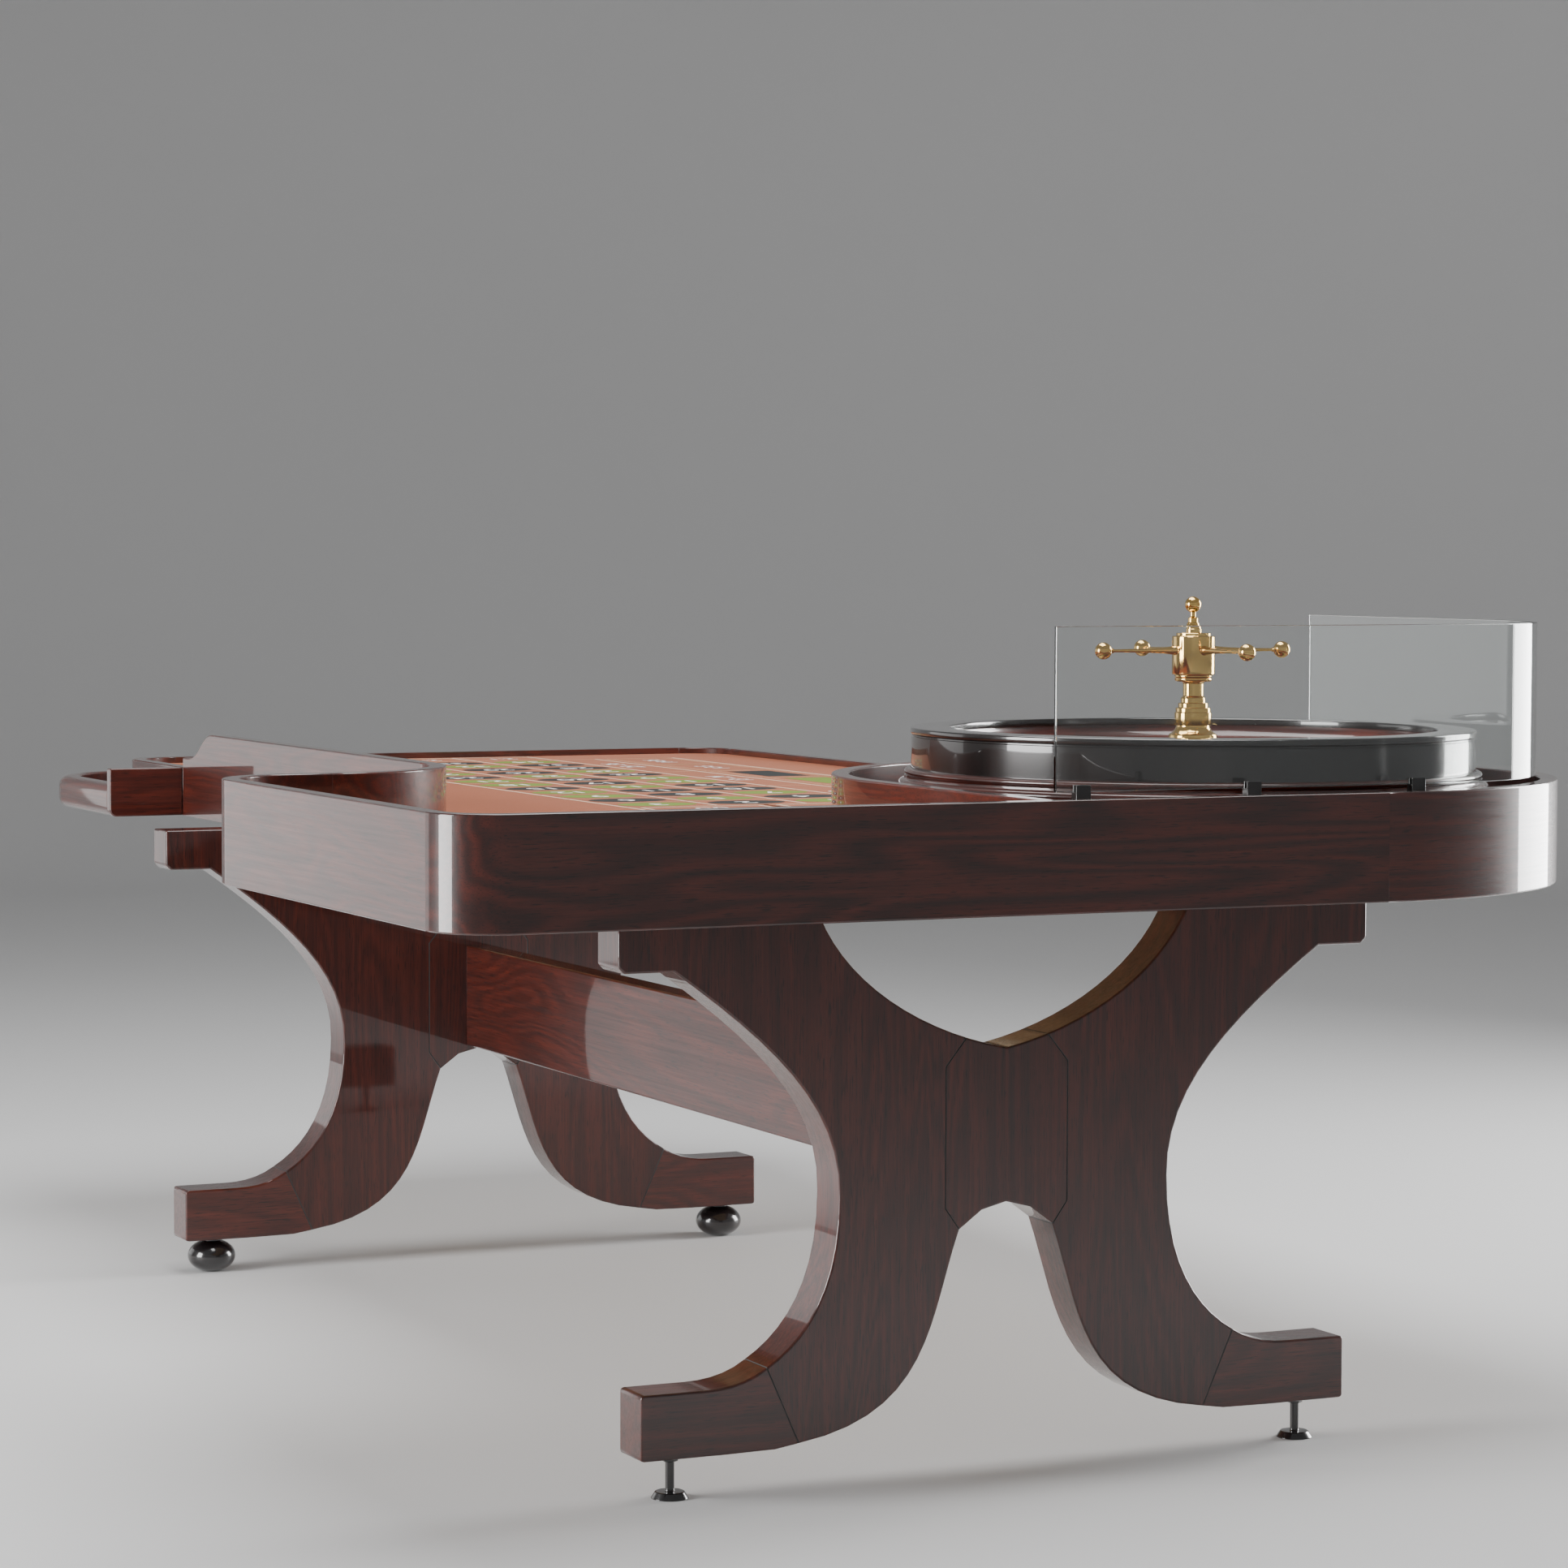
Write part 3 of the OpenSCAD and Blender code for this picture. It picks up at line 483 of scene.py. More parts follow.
@dataclass(frozen=True)
class Ink:
    """Printing ink soaked into cloth, or enamel on the wheel."""

    name: str
    colour: Colour
    roughness: float = 0.75
    coat: float = 0.0

    def make(self) -> bpy.types.Material:
        """Builds the material.

        Returns:
            The material.
        """
        n = Nodes(self.name)
        nap = n.noise(n.coords(), 850.0, 3.0, 0.7)
        n.link(n.mix(n.spread(nap, 0.42, 0.8, 0.0, 0.5), self.colour, tuple(0.6 * v for v in self.colour)),
               n.shader.inputs["Base Color"])
        n.link(n.spread(nap, 0.3, 0.7, self.roughness, self.roughness * 1.12), n.shader.inputs["Roughness"])
        n.set(Coat_Weight=self.coat, Coat_Roughness=0.04)
        n.bump(nap, 0.25, 0.0002)
        return n.material


MAHOGANY_DARK = (0.0135, 0.0030, 0.0021)
MAHOGANY = (0.052, 0.0078, 0.0043)
MAHOGANY_LIGHT = (0.100, 0.0155, 0.0076)


class Finishes:
    """Every finish by a short name, made once when it is first asked for."""

    def __init__(self) -> None:
        """Starts with no finishes made."""
        self.made: dict[str, bpy.types.Material] = {}

    def get(self, kind: object) -> bpy.types.Material:
        """Makes a finish, or gives the one made before.

        Args:
            kind: The finish, as a frozen dataclass.

        Returns:
            Its material.
        """
        if kind.name not in self.made:
            self.made[kind.name] = kind.make()
        return self.made[kind.name]

    def wood(self, grain: Grain, seed: float = 0.0, red: float = 0.0, **more: object) -> bpy.types.Material:
        """Lacquered mahogany.

        Args:
            grain: The way the grain runs.
            seed: Picks another stretch of the same wood.
            red: How much redder than usual, from 0 to 1.
            more: Other fields of LacqueredWood.

        Returns:
            The material.
        """
        def warm(c: Colour) -> Colour:
            """Shifts a colour towards red."""
            return (c[0] * (1 + 0.9 * red), c[1] * (1 + 0.75 * red), c[2] * (1 + 0.45 * red))
        name = f"mahogany_{grain.name.lower()}_{seed:g}_{red:g}".replace(".", "_")
        return self.get(LacqueredWood(name, warm(MAHOGANY_DARK), warm(MAHOGANY), warm(MAHOGANY_LIGHT),
                                      grain, seed=seed, **more))


BRASS = Metal("polished_brass", (0.86, 0.57, 0.20), (0.66, 0.39, 0.11), 0.05, 0.02)
STEEL = Metal("plated_steel", (0.62, 0.61, 0.60), (0.40, 0.40, 0.41), 0.26, 0.2)
BEECH = PlainWood("plain_beech", (0.44, 0.27, 0.13))
BEECH_ACROSS = PlainWood("plain_beech_across", (0.44, 0.27, 0.13), Grain.ALONG_Y)
PLY = PlainWood("deck_plywood", (0.47, 0.32, 0.17))
PIANO_BLACK = BlackLacquer("piano_black")
# painted shade: a near-black finish for the seam grooves, standing in for the shade in the gaps between boards
SEAM_SHADE = BlackLacquer("seam_black", (0.003, 0.002, 0.002), 0.7, 0.5)
CLAMP_BLACK = BlackLacquer("clamp_black", (0.01, 0.01, 0.01), 0.3, 0.1)
FOOT_BLACK = BlackLacquer("foot_black", (0.008, 0.008, 0.009), 0.2, 0.05)
GLASS = ClearGlass("screen_glass")
CLOTH = GamingCloth("terracotta_cloth", (0.255, 0.050, 0.009), (0.35, 0.082, 0.017))
CREAM = Ink("cream_print", (0.80, 0.60, 0.44))
PEACH = Ink("peach_print", (0.62, 0.30, 0.16))
WHITE = Ink("white_print", (0.86, 0.84, 0.80))
GREEN = Ink("olive_print", (0.165, 0.245, 0.022))
BLACK = Ink("black_print", (0.010, 0.013, 0.012))
ENAMEL_WHITE = Ink("white_enamel", (0.88, 0.86, 0.80), 0.3, 0.6)
ENAMEL_GREEN = Ink("olive_enamel", (0.10, 0.17, 0.018), 0.3, 0.8)
ENAMEL_BLACK = Ink("black_enamel", (0.008, 0.009, 0.009), 0.3, 0.8)
ENAMEL_AMBER = Ink("terracotta_enamel", (0.30, 0.068, 0.015), 0.3, 0.8)


# ---------------------------------------------------------------- mesh helpers


def new_piece(name: str, mesh: bpy.types.Mesh,
              material: bpy.types.Material | None = None) -> bpy.types.Object:
    """Puts a finished mesh in the scene, at the origin.

    Args:
        name: The piece's name.
        mesh: Its finished mesh.
        material: Its finish, if it gets one here.

    Returns:
        The new piece.
    """
    piece = bpy.data.objects.new(name, mesh)
    bpy.context.scene.collection.objects.link(piece)
    if material is not None:
        mesh.materials.clear()
        mesh.materials.append(material)
    return piece


def settle(piece: bpy.types.Object, body: str, slot: str, *replaced: str) -> bpy.types.Object:
    """Rides a piece on a body, hides what it stands for and reports it.

    Args:
        piece: The finished piece.
        body: The CAD body that it moves with.
        slot: A material slot's name; not used.
        replaced: CAD nodes that it stands for.

    Returns:
        The piece.
    """
    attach(piece, body)
    if replaced:
        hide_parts(*replaced)
    LOG.info("piece %s on %s, %d faces", piece.name, body, len(getattr(piece.data, "polygons", ())))
    return piece


def tidy(bm: bmesh.types.BMesh) -> None:
    """Merges doubled points, joins flat triangles and turns the faces outwards.

    Args:
        bm: The mesh, which is changed in place.
    """
    bmesh.ops.remove_doubles(bm, verts=bm.verts, dist=1e-6)
    bmesh.ops.dissolve_limit(bm, angle_limit=math.radians(0.8), verts=bm.verts, edges=bm.edges)
    bmesh.ops.recalc_face_normals(bm, faces=bm.faces)


def smooth_by_angle(mesh: bpy.types.Mesh, degrees: float = 32.0) -> None:
    """Shades a mesh smooth, with its sharper edges kept crisp."""
    mesh.shade_smooth()
    mesh.set_sharp_from_angle(angle=math.radians(degrees))


def add_bevel(piece: bpy.types.Object, width: float, segments: int) -> None:
    """Rounds the edges that carry a bevel weight.

    Args:
        piece: The piece to round.
        width: The bevel's width in metres.
        segments: How many strips make the round.
    """
    bevel = piece.modifiers.new("rounded_edges", "BEVEL")
    bevel.limit_method = "WEIGHT"
    bevel.width = width
    bevel.segments = segments
    bevel.use_clamp_overlap = False


def rounded_board(node: str, name: str, width: float, material: bpy.types.Material,
                  seams: Sequence[str] = (), seam_share: float = 0.16, segments: int = 3,
                  angle: float = 38.0) -> bpy.types.Object:
    """A copy of a CAD board whose sharp edges are rounded over, less so where it meets a neighbour.

    Args:
        node: The CAD node to copy.
        name: The new piece's name.
        width: The round-over's width, in metres.
        material: The finish.
        seams: CAD nodes that it meets at seams.
        seam_share: The width at a seam, as a share of width.
        segments: Steps across the round-over.
        angle: Edges sharper than this, in degrees, are rounded.

    Returns:
        The piece.
    """
    bm = bmesh.new()
    bm.from_mesh(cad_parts[node].data)
    tidy(bm)
    near = KDTree(sum(len(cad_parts[s].data.vertices) for s in seams))
    count = 0
    for s in seams:
        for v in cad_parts[s].data.vertices:
            near.insert(v.co, count)
            count += 1
    near.balance()
    weight = bm.edges.layers.float.new("bevel_weight_edge")
    for edge in bm.edges:
        if len(edge.link_faces) == 2 and edge.calc_face_angle(0.0) > math.radians(angle):
            at_seam = count and all((near.find(v.co)[2] or 0.0) < 4e-4 for v in edge.verts)
            edge[weight] = seam_share if at_seam else 1.0
    mesh = bpy.data.meshes.new(name)
    bm.to_mesh(mesh)
    bm.free()
    smooth_by_angle(mesh)
    piece = new_piece(name, mesh, material)
    add_bevel(piece, width, segments)
    return piece


def darken_seams(piece: bpy.types.Object, share: float, reach: float, dark: bpy.types.Material) -> None:
    """Bakes a board's round-overs and gives the narrow grooves along its seams a near-black finish, which is
    painted shade for the gaps between boards.

    Args:
        piece: The board.
        share: The bevel weight that marks a seam's edges.
        reach: The groove's width on this board, in metres.
        dark: The groove's finish, which paints the shade in the gap.
    """
    weights = piece.data.attributes["bevel_weight_edge"].data
    lines = []
    for edge in piece.data.edges:
        if abs(weights[edge.index].value - share) < 1e-4:
            a, b = (piece.data.vertices[i].co.copy() for i in edge.vertices)
            lines.append((a, b - a, (b - a).length_squared))
    mesh = bpy.data.meshes.new_from_object(piece.evaluated_get(bpy.context.evaluated_depsgraph_get()))
    piece.modifiers.clear()
    piece.data = mesh
    mesh.materials.append(dark)
    for face in mesh.polygons:
        for start, run, square in lines:
            along = max(0.0, min(1.0, (face.center - start).dot(run) / square)) if square else 0.0
            if (face.center - start - run * along).length < reach:
                # painted shade: faces along a seam take the near-black gap finish
                face.material_index = 1
                break


def arc(cx: float, cz: float, r: float, a0: float, a1: float, steps: int = 6) -> list[Point]:
    """Points of an arc from a0 to a1 degrees."""
    turn = [math.radians(a0 + (a1 - a0) * i / steps) for i in range(steps + 1)]
    return [(cx + r * math.cos(a), cz + r * math.sin(a)) for a in turn]


def curve(p0: Point, p1: Point, p2: Point, p3: Point, steps: int = 10) -> list[Point]:
    """Points of a cubic curve from p0 to p3.

    Args:
        p0: Where it starts.
        p1: The first handle.
        p2: The second handle.
        p3: Where it ends.
        steps: How many straight runs it has.

    Returns:
        The points.
    """
    out = []
    for i in range(steps + 1):
        t, s = i / steps, 1 - i / steps
        k = (s ** 3, 3 * t * s * s, 3 * t * t * s, t ** 3)
        out.append(tuple(sum(w * p[j] for w, p in zip(k, (p0, p1, p2, p3))) for j in (0, 1)))
    return out


def lathe(name: str, outline: Sequence[Point], centre: Point, z0: float, material: bpy.types.Material,
          steps: int = 128, closed: bool = True, angle: float = 32.0) -> bpy.types.Object:
    """Turns an outline about an upright axis.

    Args:
        name: The piece's name.
        outline: Radius and height of each point, in millimetres.
        centre: The axis in X and Y, in metres.
        z0: The height that the outline's heights count from, in metres.
        material: The finish.
        steps: Faces round the axis.
        closed: True for a ring's section; False where the outline starts and ends on the axis.
        angle: Edges sharper than this, in degrees, stay crisp.

    Returns:
        The piece.
    """
    bm = bmesh.new()
    rings = []
    for r, h in outline:
        if r < 1e-6:
            rings.append([bm.verts.new((centre[0], centre[1], z0 + h / 1000))])
            continue
        turn = [2 * math.pi * i / steps for i in range(steps)]
        rings.append([bm.verts.new((centre[0] + r / 1000 * math.cos(a), centre[1] + r / 1000 * math.sin(a),
                                    z0 + h / 1000)) for a in turn])
    for a, b in zip(rings, rings[1:] + (rings[:1] if closed else [])):
        for i in range(steps):
            j = (i + 1) % steps
            corners = [a[i % len(a)], a[j % len(a)], b[j % len(b)], b[i % len(b)]]
            corners = [v for k, v in enumerate(corners) if v not in corners[:k]]
            if len(corners) > 2:
                bm.faces.new(corners)
    bmesh.ops.remove_doubles(bm, verts=bm.verts, dist=1e-7)
    bmesh.ops.recalc_face_normals(bm, faces=bm.faces)
    mesh = bpy.data.meshes.new(name)
    bm.to_mesh(mesh)
    bm.free()
    smooth_by_angle(mesh, angle)
    return new_piece(name, mesh, material)


class Flat:
    """Gathers flat printed shapes of one colour into a single thin mesh."""

    def __init__(self, z: float) -> None:
        """Starts an empty sheet of print at height z, in metres."""
        self.bm = bmesh.new()
        self.z = z

    def polygon(self, points: Sequence[Point]) -> None:
        """Adds a filled outline."""
        self.bm.faces.new([self.bm.verts.new((x, y, self.z)) for x, y in points])

    def rectangle(self, x0: float, y0: float, x1: float, y1: float) -> None:
        """Adds a filled rectangle."""
        self.polygon([(x0, y0), (x1, y0), (x1, y1), (x0, y1)])

    def frame(self, x0: float, y0: float, x1: float, y1: float, line: float) -> None:
        """Adds a rectangle's border, with its line inside the given corners.

        Args:
            x0: The left side.
            y0: The lower side.
            x1: The right side.
            y1: The upper side.
            line: The line's width.
        """
        self.rectangle(x0, y0, x1, y0 + line)
        self.rectangle(x0, y1 - line, x1, y1)
        self.rectangle(x0, y0 + line, x0 + line, y1 - line)
        self.rectangle(x1 - line, y0 + line, x1, y1 - line)

    def figures(self, text: str, size: float, place: Matrix) -> None:
        """Adds figures, with their middle at the place's origin and their top along its Y.

        Args:
            text: The figures.
            size: Their height, in metres.
            place: Where they go; the flat z is the place's own.
        """
        font = bpy.data.curves.new("figures", "FONT")
        font.body = text
        font.size = size / 0.72
        font.align_x = "CENTER"
        font.align_y = "CENTER"
        font.offset = size * 0.018
        font.resolution_u = 3
        holder = bpy.data.objects.new("figures", font)
        bpy.context.scene.collection.objects.link(holder)
        mesh = bpy.data.meshes.new_from_object(
            holder.evaluated_get(bpy.context.evaluated_depsgraph_get()))
        bpy.data.objects.remove(holder)
        bpy.data.curves.remove(font)
        mesh.transform(place)
        self.bm.from_mesh(mesh)
        bpy.data.meshes.remove(mesh)

    def finish(self, name: str, material: bpy.types.Material) -> bpy.types.Object:
        """Makes the gathered shapes one piece, facing up.

        Args:
            name: The piece's name.
            material: Its finish.

        Returns:
            The piece.
        """
        for face in self.bm.faces:
            face.normal_update()
            if face.normal.z < 0:
                face.normal_flip()
        mesh = bpy.data.meshes.new(name)
        self.bm.to_mesh(mesh)
        self.bm.free()
        return new_piece(name, mesh, material)


# ---------------------------------------------------------------- geometry nodes


class Repeater:
    """One Geometry Nodes tree with named inputs, baked to a plain mesh."""

    def __init__(self, name: str, inputs: dict[str, tuple[str, object]]) -> None:
        """Starts the tree.

        Args:
            name: The tree's name.
            inputs: For each input's name, its kind (Float, Int or Vector) and its value.
        """
        self.tree = bpy.data.node_groups.new(name, "GeometryNodeTree")
        face = self.tree.interface
        self.values = {}
        for label, (kind, value) in inputs.items():
            socket = face.new_socket(label, in_out="INPUT", socket_type=f"NodeSocket{kind}")
            self.values[socket.identifier] = value
        face.new_socket("Geometry", in_out="OUTPUT", socket_type="NodeSocketGeometry")
        self.given = self.tree.nodes.new("NodeGroupInput")
        self.result = self.tree.nodes.new("NodeGroupOutput")

    def input(self, label: str) -> bpy.types.NodeSocket:
        """The named input, as a socket to link from."""
        return self.given.outputs[label]

    def node(self, kind: str, _attributes: dict[str, object] | None = None,
             **inputs: object) -> bpy.types.Node:
        """Adds a node.

        Args:
            kind: The node's type.
            _attributes: Properties to set on it.
            inputs: Its inputs by name, with an underscore for a space, as sockets or values.

        Returns:
            The node.
        """
        made = self.tree.nodes.new(kind)
        for key, value in (_attributes or {}).items():
            setattr(made, key, value)
        for key, value in inputs.items():
            socket = made.inputs[key.replace("_", " ")]
            if isinstance(value, bpy.types.NodeSocket):
                self.tree.links.new(value, socket)
            else:
                socket.default_value = value
        return made

    def bake(self, name: str, shape: bpy.types.NodeSocket,
             material: bpy.types.Material) -> bpy.types.Object:
        """Realises the instances, sets the finish and makes a plain mesh of the result.

        Args:
            name: The piece's name.
            shape: The tree's last geometry.
            material: The finish.

        Returns:
            The piece.
        """
        real = self.node("GeometryNodeRealizeInstances", Geometry=shape)
        dressed = self.node("GeometryNodeSetMaterial", Geometry=real.outputs[0], Material=material)
        self.tree.links.new(dressed.outputs[0], self.result.inputs["Geometry"])
        carrier = new_piece(name + "_carrier", bpy.data.meshes.new(name + "_carrier"))
        modifier = carrier.modifiers.new("repeat", "NODES")
        modifier.node_group = self.tree
        for identifier, value in self.values.items():
            modifier[identifier] = value
        mesh = bpy.data.meshes.new_from_object(
            carrier.evaluated_get(bpy.context.evaluated_depsgraph_get()))
        bpy.data.objects.remove(carrier)
        mesh.name = name
        piece = new_piece(name, mesh, material)
        return piece


def ring_of_blocks(name: str, count: int, radius: float, centre: Coords, size: Coords, tilt: float,
                   material: bpy.types.Material, start: float = 0.0) -> bpy.types.Object:
    """Blocks spaced evenly round an upright axis.

    Args:
        name: The piece's name.
        count: How many.
        radius: The distance of their middles from the axis, in metres.
        centre: The ring's centre.
        size: Each block's size, with X outwards.
        tilt: How far each leans about its own tangent, in radians.
        material: The finish.
        start: The first block's angle, in radians.

    Returns:
        The piece.
    """
    r = Repeater(name, {"Count": ("Int", count), "Radius": ("Float", radius), "Centre": ("Vector", centre),
                        "Size": ("Vector", size), "Start": ("Float", start), "Tilt": ("Float", tilt)})
    line = r.node("GeometryNodeMeshLine", Count=r.input("Count"), Offset=(0, 0, 0))
    index = r.node("GeometryNodeInputIndex")
    part = r.node("ShaderNodeMath", {"operation": "DIVIDE"})
    r.tree.links.new(index.outputs[0], part.inputs[0])
    r.tree.links.new(r.input("Count"), part.inputs[1])
    turn = r.node("ShaderNodeMath", {"operation": "MULTIPLY_ADD"})
    r.tree.links.new(part.outputs[0], turn.inputs[0])
    turn.inputs[1].default_value = 2 * math.pi
    r.tree.links.new(r.input("Start"), turn.inputs[2])
    spot = r.node("ShaderNodeCombineXYZ")
    for i, operation in enumerate(("COSINE", "SINE")):
        wave = r.node("ShaderNodeMath", {"operation": operation})
        r.tree.links.new(turn.outputs[0], wave.inputs[0])
        out = r.node("ShaderNodeMath", {"operation": "MULTIPLY"})
        r.tree.links.new(wave.outputs[0], out.inputs[0])
        r.tree.links.new(r.input("Radius"), out.inputs[1])
        r.tree.links.new(out.outputs[0], spot.inputs[i])
    moved = r.node("ShaderNodeVectorMath", {"operation": "ADD"})
    r.tree.links.new(spot.outputs[0], moved.inputs[0])
    r.tree.links.new(r.input("Centre"), moved.inputs[1])
    placed = r.node("GeometryNodeSetPosition", Geometry=line.outputs[0], Position=moved.outputs[0])
    angles = r.node("ShaderNodeCombineXYZ")
    r.tree.links.new(r.input("Tilt"), angles.inputs[1])
    r.tree.links.new(turn.outputs[0], angles.inputs[2])
    block = r.node("GeometryNodeMeshCube", Size=r.input("Size"))
    rotation = r.node("FunctionNodeEulerToRotation")
    r.tree.links.new(angles.outputs[0], rotation.inputs[0])
    copies = r.node("GeometryNodeInstanceOnPoints", Points=placed.outputs[0], Instance=block.outputs[0],
                    Rotation=rotation.outputs[0])
    return r.bake(name, copies.outputs[0], material)


def grid_of_ovals(name: str, spots: Sequence[tuple[int, int]], corner: Coords, pitch: Coords, half: Coords,
                  material: bpy.types.Material) -> bpy.types.Object:
    """Filled ovals in chosen cells of a grid.

    Args:
        name: The piece's name.
        spots: Column and row of each oval.
        corner: The middle of cell (0, 0).
        pitch: The step from cell to cell in X and Y.
        half: The oval's half width and half height.
        material: The finish.

    Returns:
        The piece.
    """
    mesh = bpy.data.meshes.new(name + "_cells")
    mesh.from_pydata([(c, q, 0.0) for c, q in spots], [], [])
    cells = new_piece(name + "_cells", mesh)
    r = Repeater(name, {"Cells": ("Object", cells), "Corner": ("Vector", corner),
                        "Pitch": ("Vector", pitch), "Half": ("Vector", half)})
    info = r.node("GeometryNodeObjectInfo")
    r.tree.links.new(r.input("Cells"), info.inputs["Object"])
    place = r.node("GeometryNodeInputPosition")
    moved = r.node("ShaderNodeVectorMath", {"operation": "MULTIPLY_ADD"})
    for socket, source in zip(moved.inputs, (place.outputs[0], r.input("Pitch"), r.input("Corner"))):
        r.tree.links.new(source, socket)
    spread = r.node("GeometryNodeSetPosition", Geometry=info.outputs["Geometry"], Position=moved.outputs[0])
    disc = r.node("GeometryNodeMeshCircle", {"fill_type": "NGON"}, Vertices=48, Radius=1.0)
    copies = r.node("GeometryNodeInstanceOnPoints", Points=spread.outputs[0], Instance=disc.outputs[0],
                    Scale=r.input("Half"))
    piece = r.bake(name, copies.outputs[0], material)
    bpy.data.objects.remove(cells)
    return piece


# ---------------------------------------------------------------- sub-assemblies


@dataclass
class Trestles:
    """The two X-shaped trestles, with their boards rounded over, and the stretcher between them."""

    finishes: Finishes
    edge: float = 0.0028
    seam_share: float = 0.4
    stretcher_edge: float = 0.003

    def build(self) -> None:
        """Builds both trestles and the stretcher."""
        for number, end in enumerate(("near", "far")):
            block = f"{end}_centre_block"
            for side in ("left", "right"):
                leg, foot = f"{end}_{side}_leg", f"{end}_{side}_foot"
                seed = 1.3 + number * 2.0 + (side == "left") * 0.7
                self.board(leg, (block, foot), self.finishes.wood(Grain.UPRIGHT, seed))
                self.board(foot, (leg,), self.finishes.wood(Grain.ALONG_Y, seed + 0.3, 0.25), 4)
            legs = (f"{end}_left_leg", f"{end}_right_leg")
            self.board(block, legs, self.finishes.wood(Grain.UPRIGHT, 5.1 + number, 0.1))
        bar = rounded_board("stretcher", "stretcher_board", self.stretcher_edge,
                            self.finishes.wood(Grain.ALONG_X, 7.4, 0.3))
        settle(bar, "table", "red_mahogany", "stretcher")
        dress("trestle_dowels", self.finishes.get(BEECH))

    def board(self, node: str, seams: Sequence[str], material: bpy.types.Material,
              segments: int = 4) -> None:
        """Rounds one board and puts it in place.

        Args:
            node: The CAD node.
            seams: The nodes that it meets at a seam, whose groove gets painted shade.
            material: Its finish.
            segments: How many strips make the round.
        """
        piece = rounded_board(node, node + "_board", self.edge, material, seams, self.seam_share, segments)
        # the seam grooves take painted shade
        darken_seams(piece, self.seam_share, self.edge * self.seam_share, self.finishes.get(SEAM_SHADE))
        slot = "red_mahogany" if node.endswith("foot") else "dark_mahogany"
        settle(piece, "table", slot, node)


@dataclass
class Body:
    """The body: its aprons, the recess, the backboard, the wheel well, the deck and its bearers."""

    finishes: Finishes
    well_centre: Point
    well_radius: float
    edge: float = 0.0022
    bold_figure: float = 0.38
    straight: tuple[tuple[str, Grain, float, float], ...] = (
        ("wheel_end_apron", Grain.ALONG_Y, 11.0, 0.0),
        ("left_apron", Grain.ALONG_X, 12.0, 0.15),
        ("recess_corner", Grain.ALONG_X, 13.0, 0.5),
        ("backboard", Grain.ALONG_X, 14.0, 0.3),
        ("left_low_apron", Grain.ALONG_X, 15.0, 0.0),
        ("far_left_corner", Grain.ALONG_X, 16.0, 0.2),
        ("far_apron", Grain.ALONG_Y, 17.0, 0.3),
        ("far_right_corner", Grain.ALONG_X, 18.0, 0.3),
        ("right_apron", Grain.ALONG_X, 19.0, 0.3))
    seams: dict[str, tuple[str, ...]] = field(default_factory=lambda: {
        "wheel_end_apron": ("left_apron", "well_outer_wall"),
        "left_apron": ("wheel_end_apron", "recess_corner"),
        "recess_corner": ("left_apron", "backboard"),
        "backboard": ("recess_corner", "left_low_apron"),
        "left_low_apron": ("backboard", "far_left_corner"),
        "far_left_corner": ("left_low_apron", "far_apron"),
        "far_apron": ("far_left_corner", "far_right_corner"),
        "far_right_corner": ("far_apron", "right_apron"),
        "right_apron": ("far_right_corner",)})

    def build(self) -> None:
        """Builds every board of the body."""
        for node, grain, seed, red in self.straight:
            figure = self.bold_figure if node == "wheel_end_apron" else 0.2
            self.wall(node, self.finishes.wood(grain, seed, red, figure=figure), self.seams[node])
        round_wood = {"centre": self.well_centre, "radius": self.well_radius}
        self.wall("well_outer_wall", self.finishes.wood(Grain.ROUND, 21.0, 0.0, **round_wood),
                  ("wheel_end_apron",))
        self.wall("well_inner_wall", self.finishes.wood(Grain.ROUND, 22.0, 0.8, **round_wood), ())
        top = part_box("near_deck")[1].z
        veneered = VeneeredBoard("veneered_deck", PLY.colour, (0.060, 0.0085, 0.005), top - 0.0003)
        dress("near_deck", self.finishes.get(veneered))
        dress("far_deck", self.finishes.get(PLY))
        dress("cross_bearers", self.finishes.get(BEECH_ACROSS))
        dress("side_bearers", self.finishes.get(BEECH))
        for node in ("trestle_bolts", "bolt_washers"):
            dress(node, self.finishes.get(STEEL))

    def wall(self, node: str, material: bpy.types.Material, seams: Sequence[str]) -> None:
        """Rounds one apron's edges and puts it in place.

        Args:
            node: The CAD node.
            material: Its finish.
            seams: The nodes that it meets at a seam, where the round-over is narrower.
        """
        red = node in ("left_apron", "recess_corner", "backboard", "well_inner_wall")
        piece = rounded_board(node, node + "_board", self.edge, material, seams, 0.12)
        settle(piece, "table", "red_mahogany" if red else "dark_mahogany", node)


@dataclass
class Ledge:
    """The players' ledge: its floor, its bullnose rails, its end panels, plates and screws."""

    finishes: Finishes

    def build(self) -> None:
        """Builds the ledge's wood and dresses its metal."""
        rails = (("ledge_rail_left", Grain.ALONG_X), ("ledge_rail_far", Grain.ALONG_Y),
                 ("ledge_rail_right", Grain.ALONG_X))
        for number, (node, grain) in enumerate(rails):
            piece = rounded_board(node, node + "_moulding", 0.0016,
                                  self.finishes.wood(grain, 31.0 + number, 0.4), angle=50.0)
            settle(piece, "table", "dark_mahogany", node)
        floor = rounded_board("ledge_floor", "ledge_floor_board", 0.001,
                              self.finishes.wood(Grain.ALONG_X, 35.0, 0.7))
        settle(floor, "table", "dark_mahogany", "ledge_floor")
        ends = rounded_board("ledge_end_panels", "ledge_end_panel_boards", 0.0025,
                             self.finishes.wood(Grain.ALONG_Y, 36.0, 0.1))
        settle(ends, "table", "dark_mahogany", "ledge_end_panels")
        for node in ("ledge_plates", "ledge_screws"):
            dress(node, self.finishes.get(STEEL))


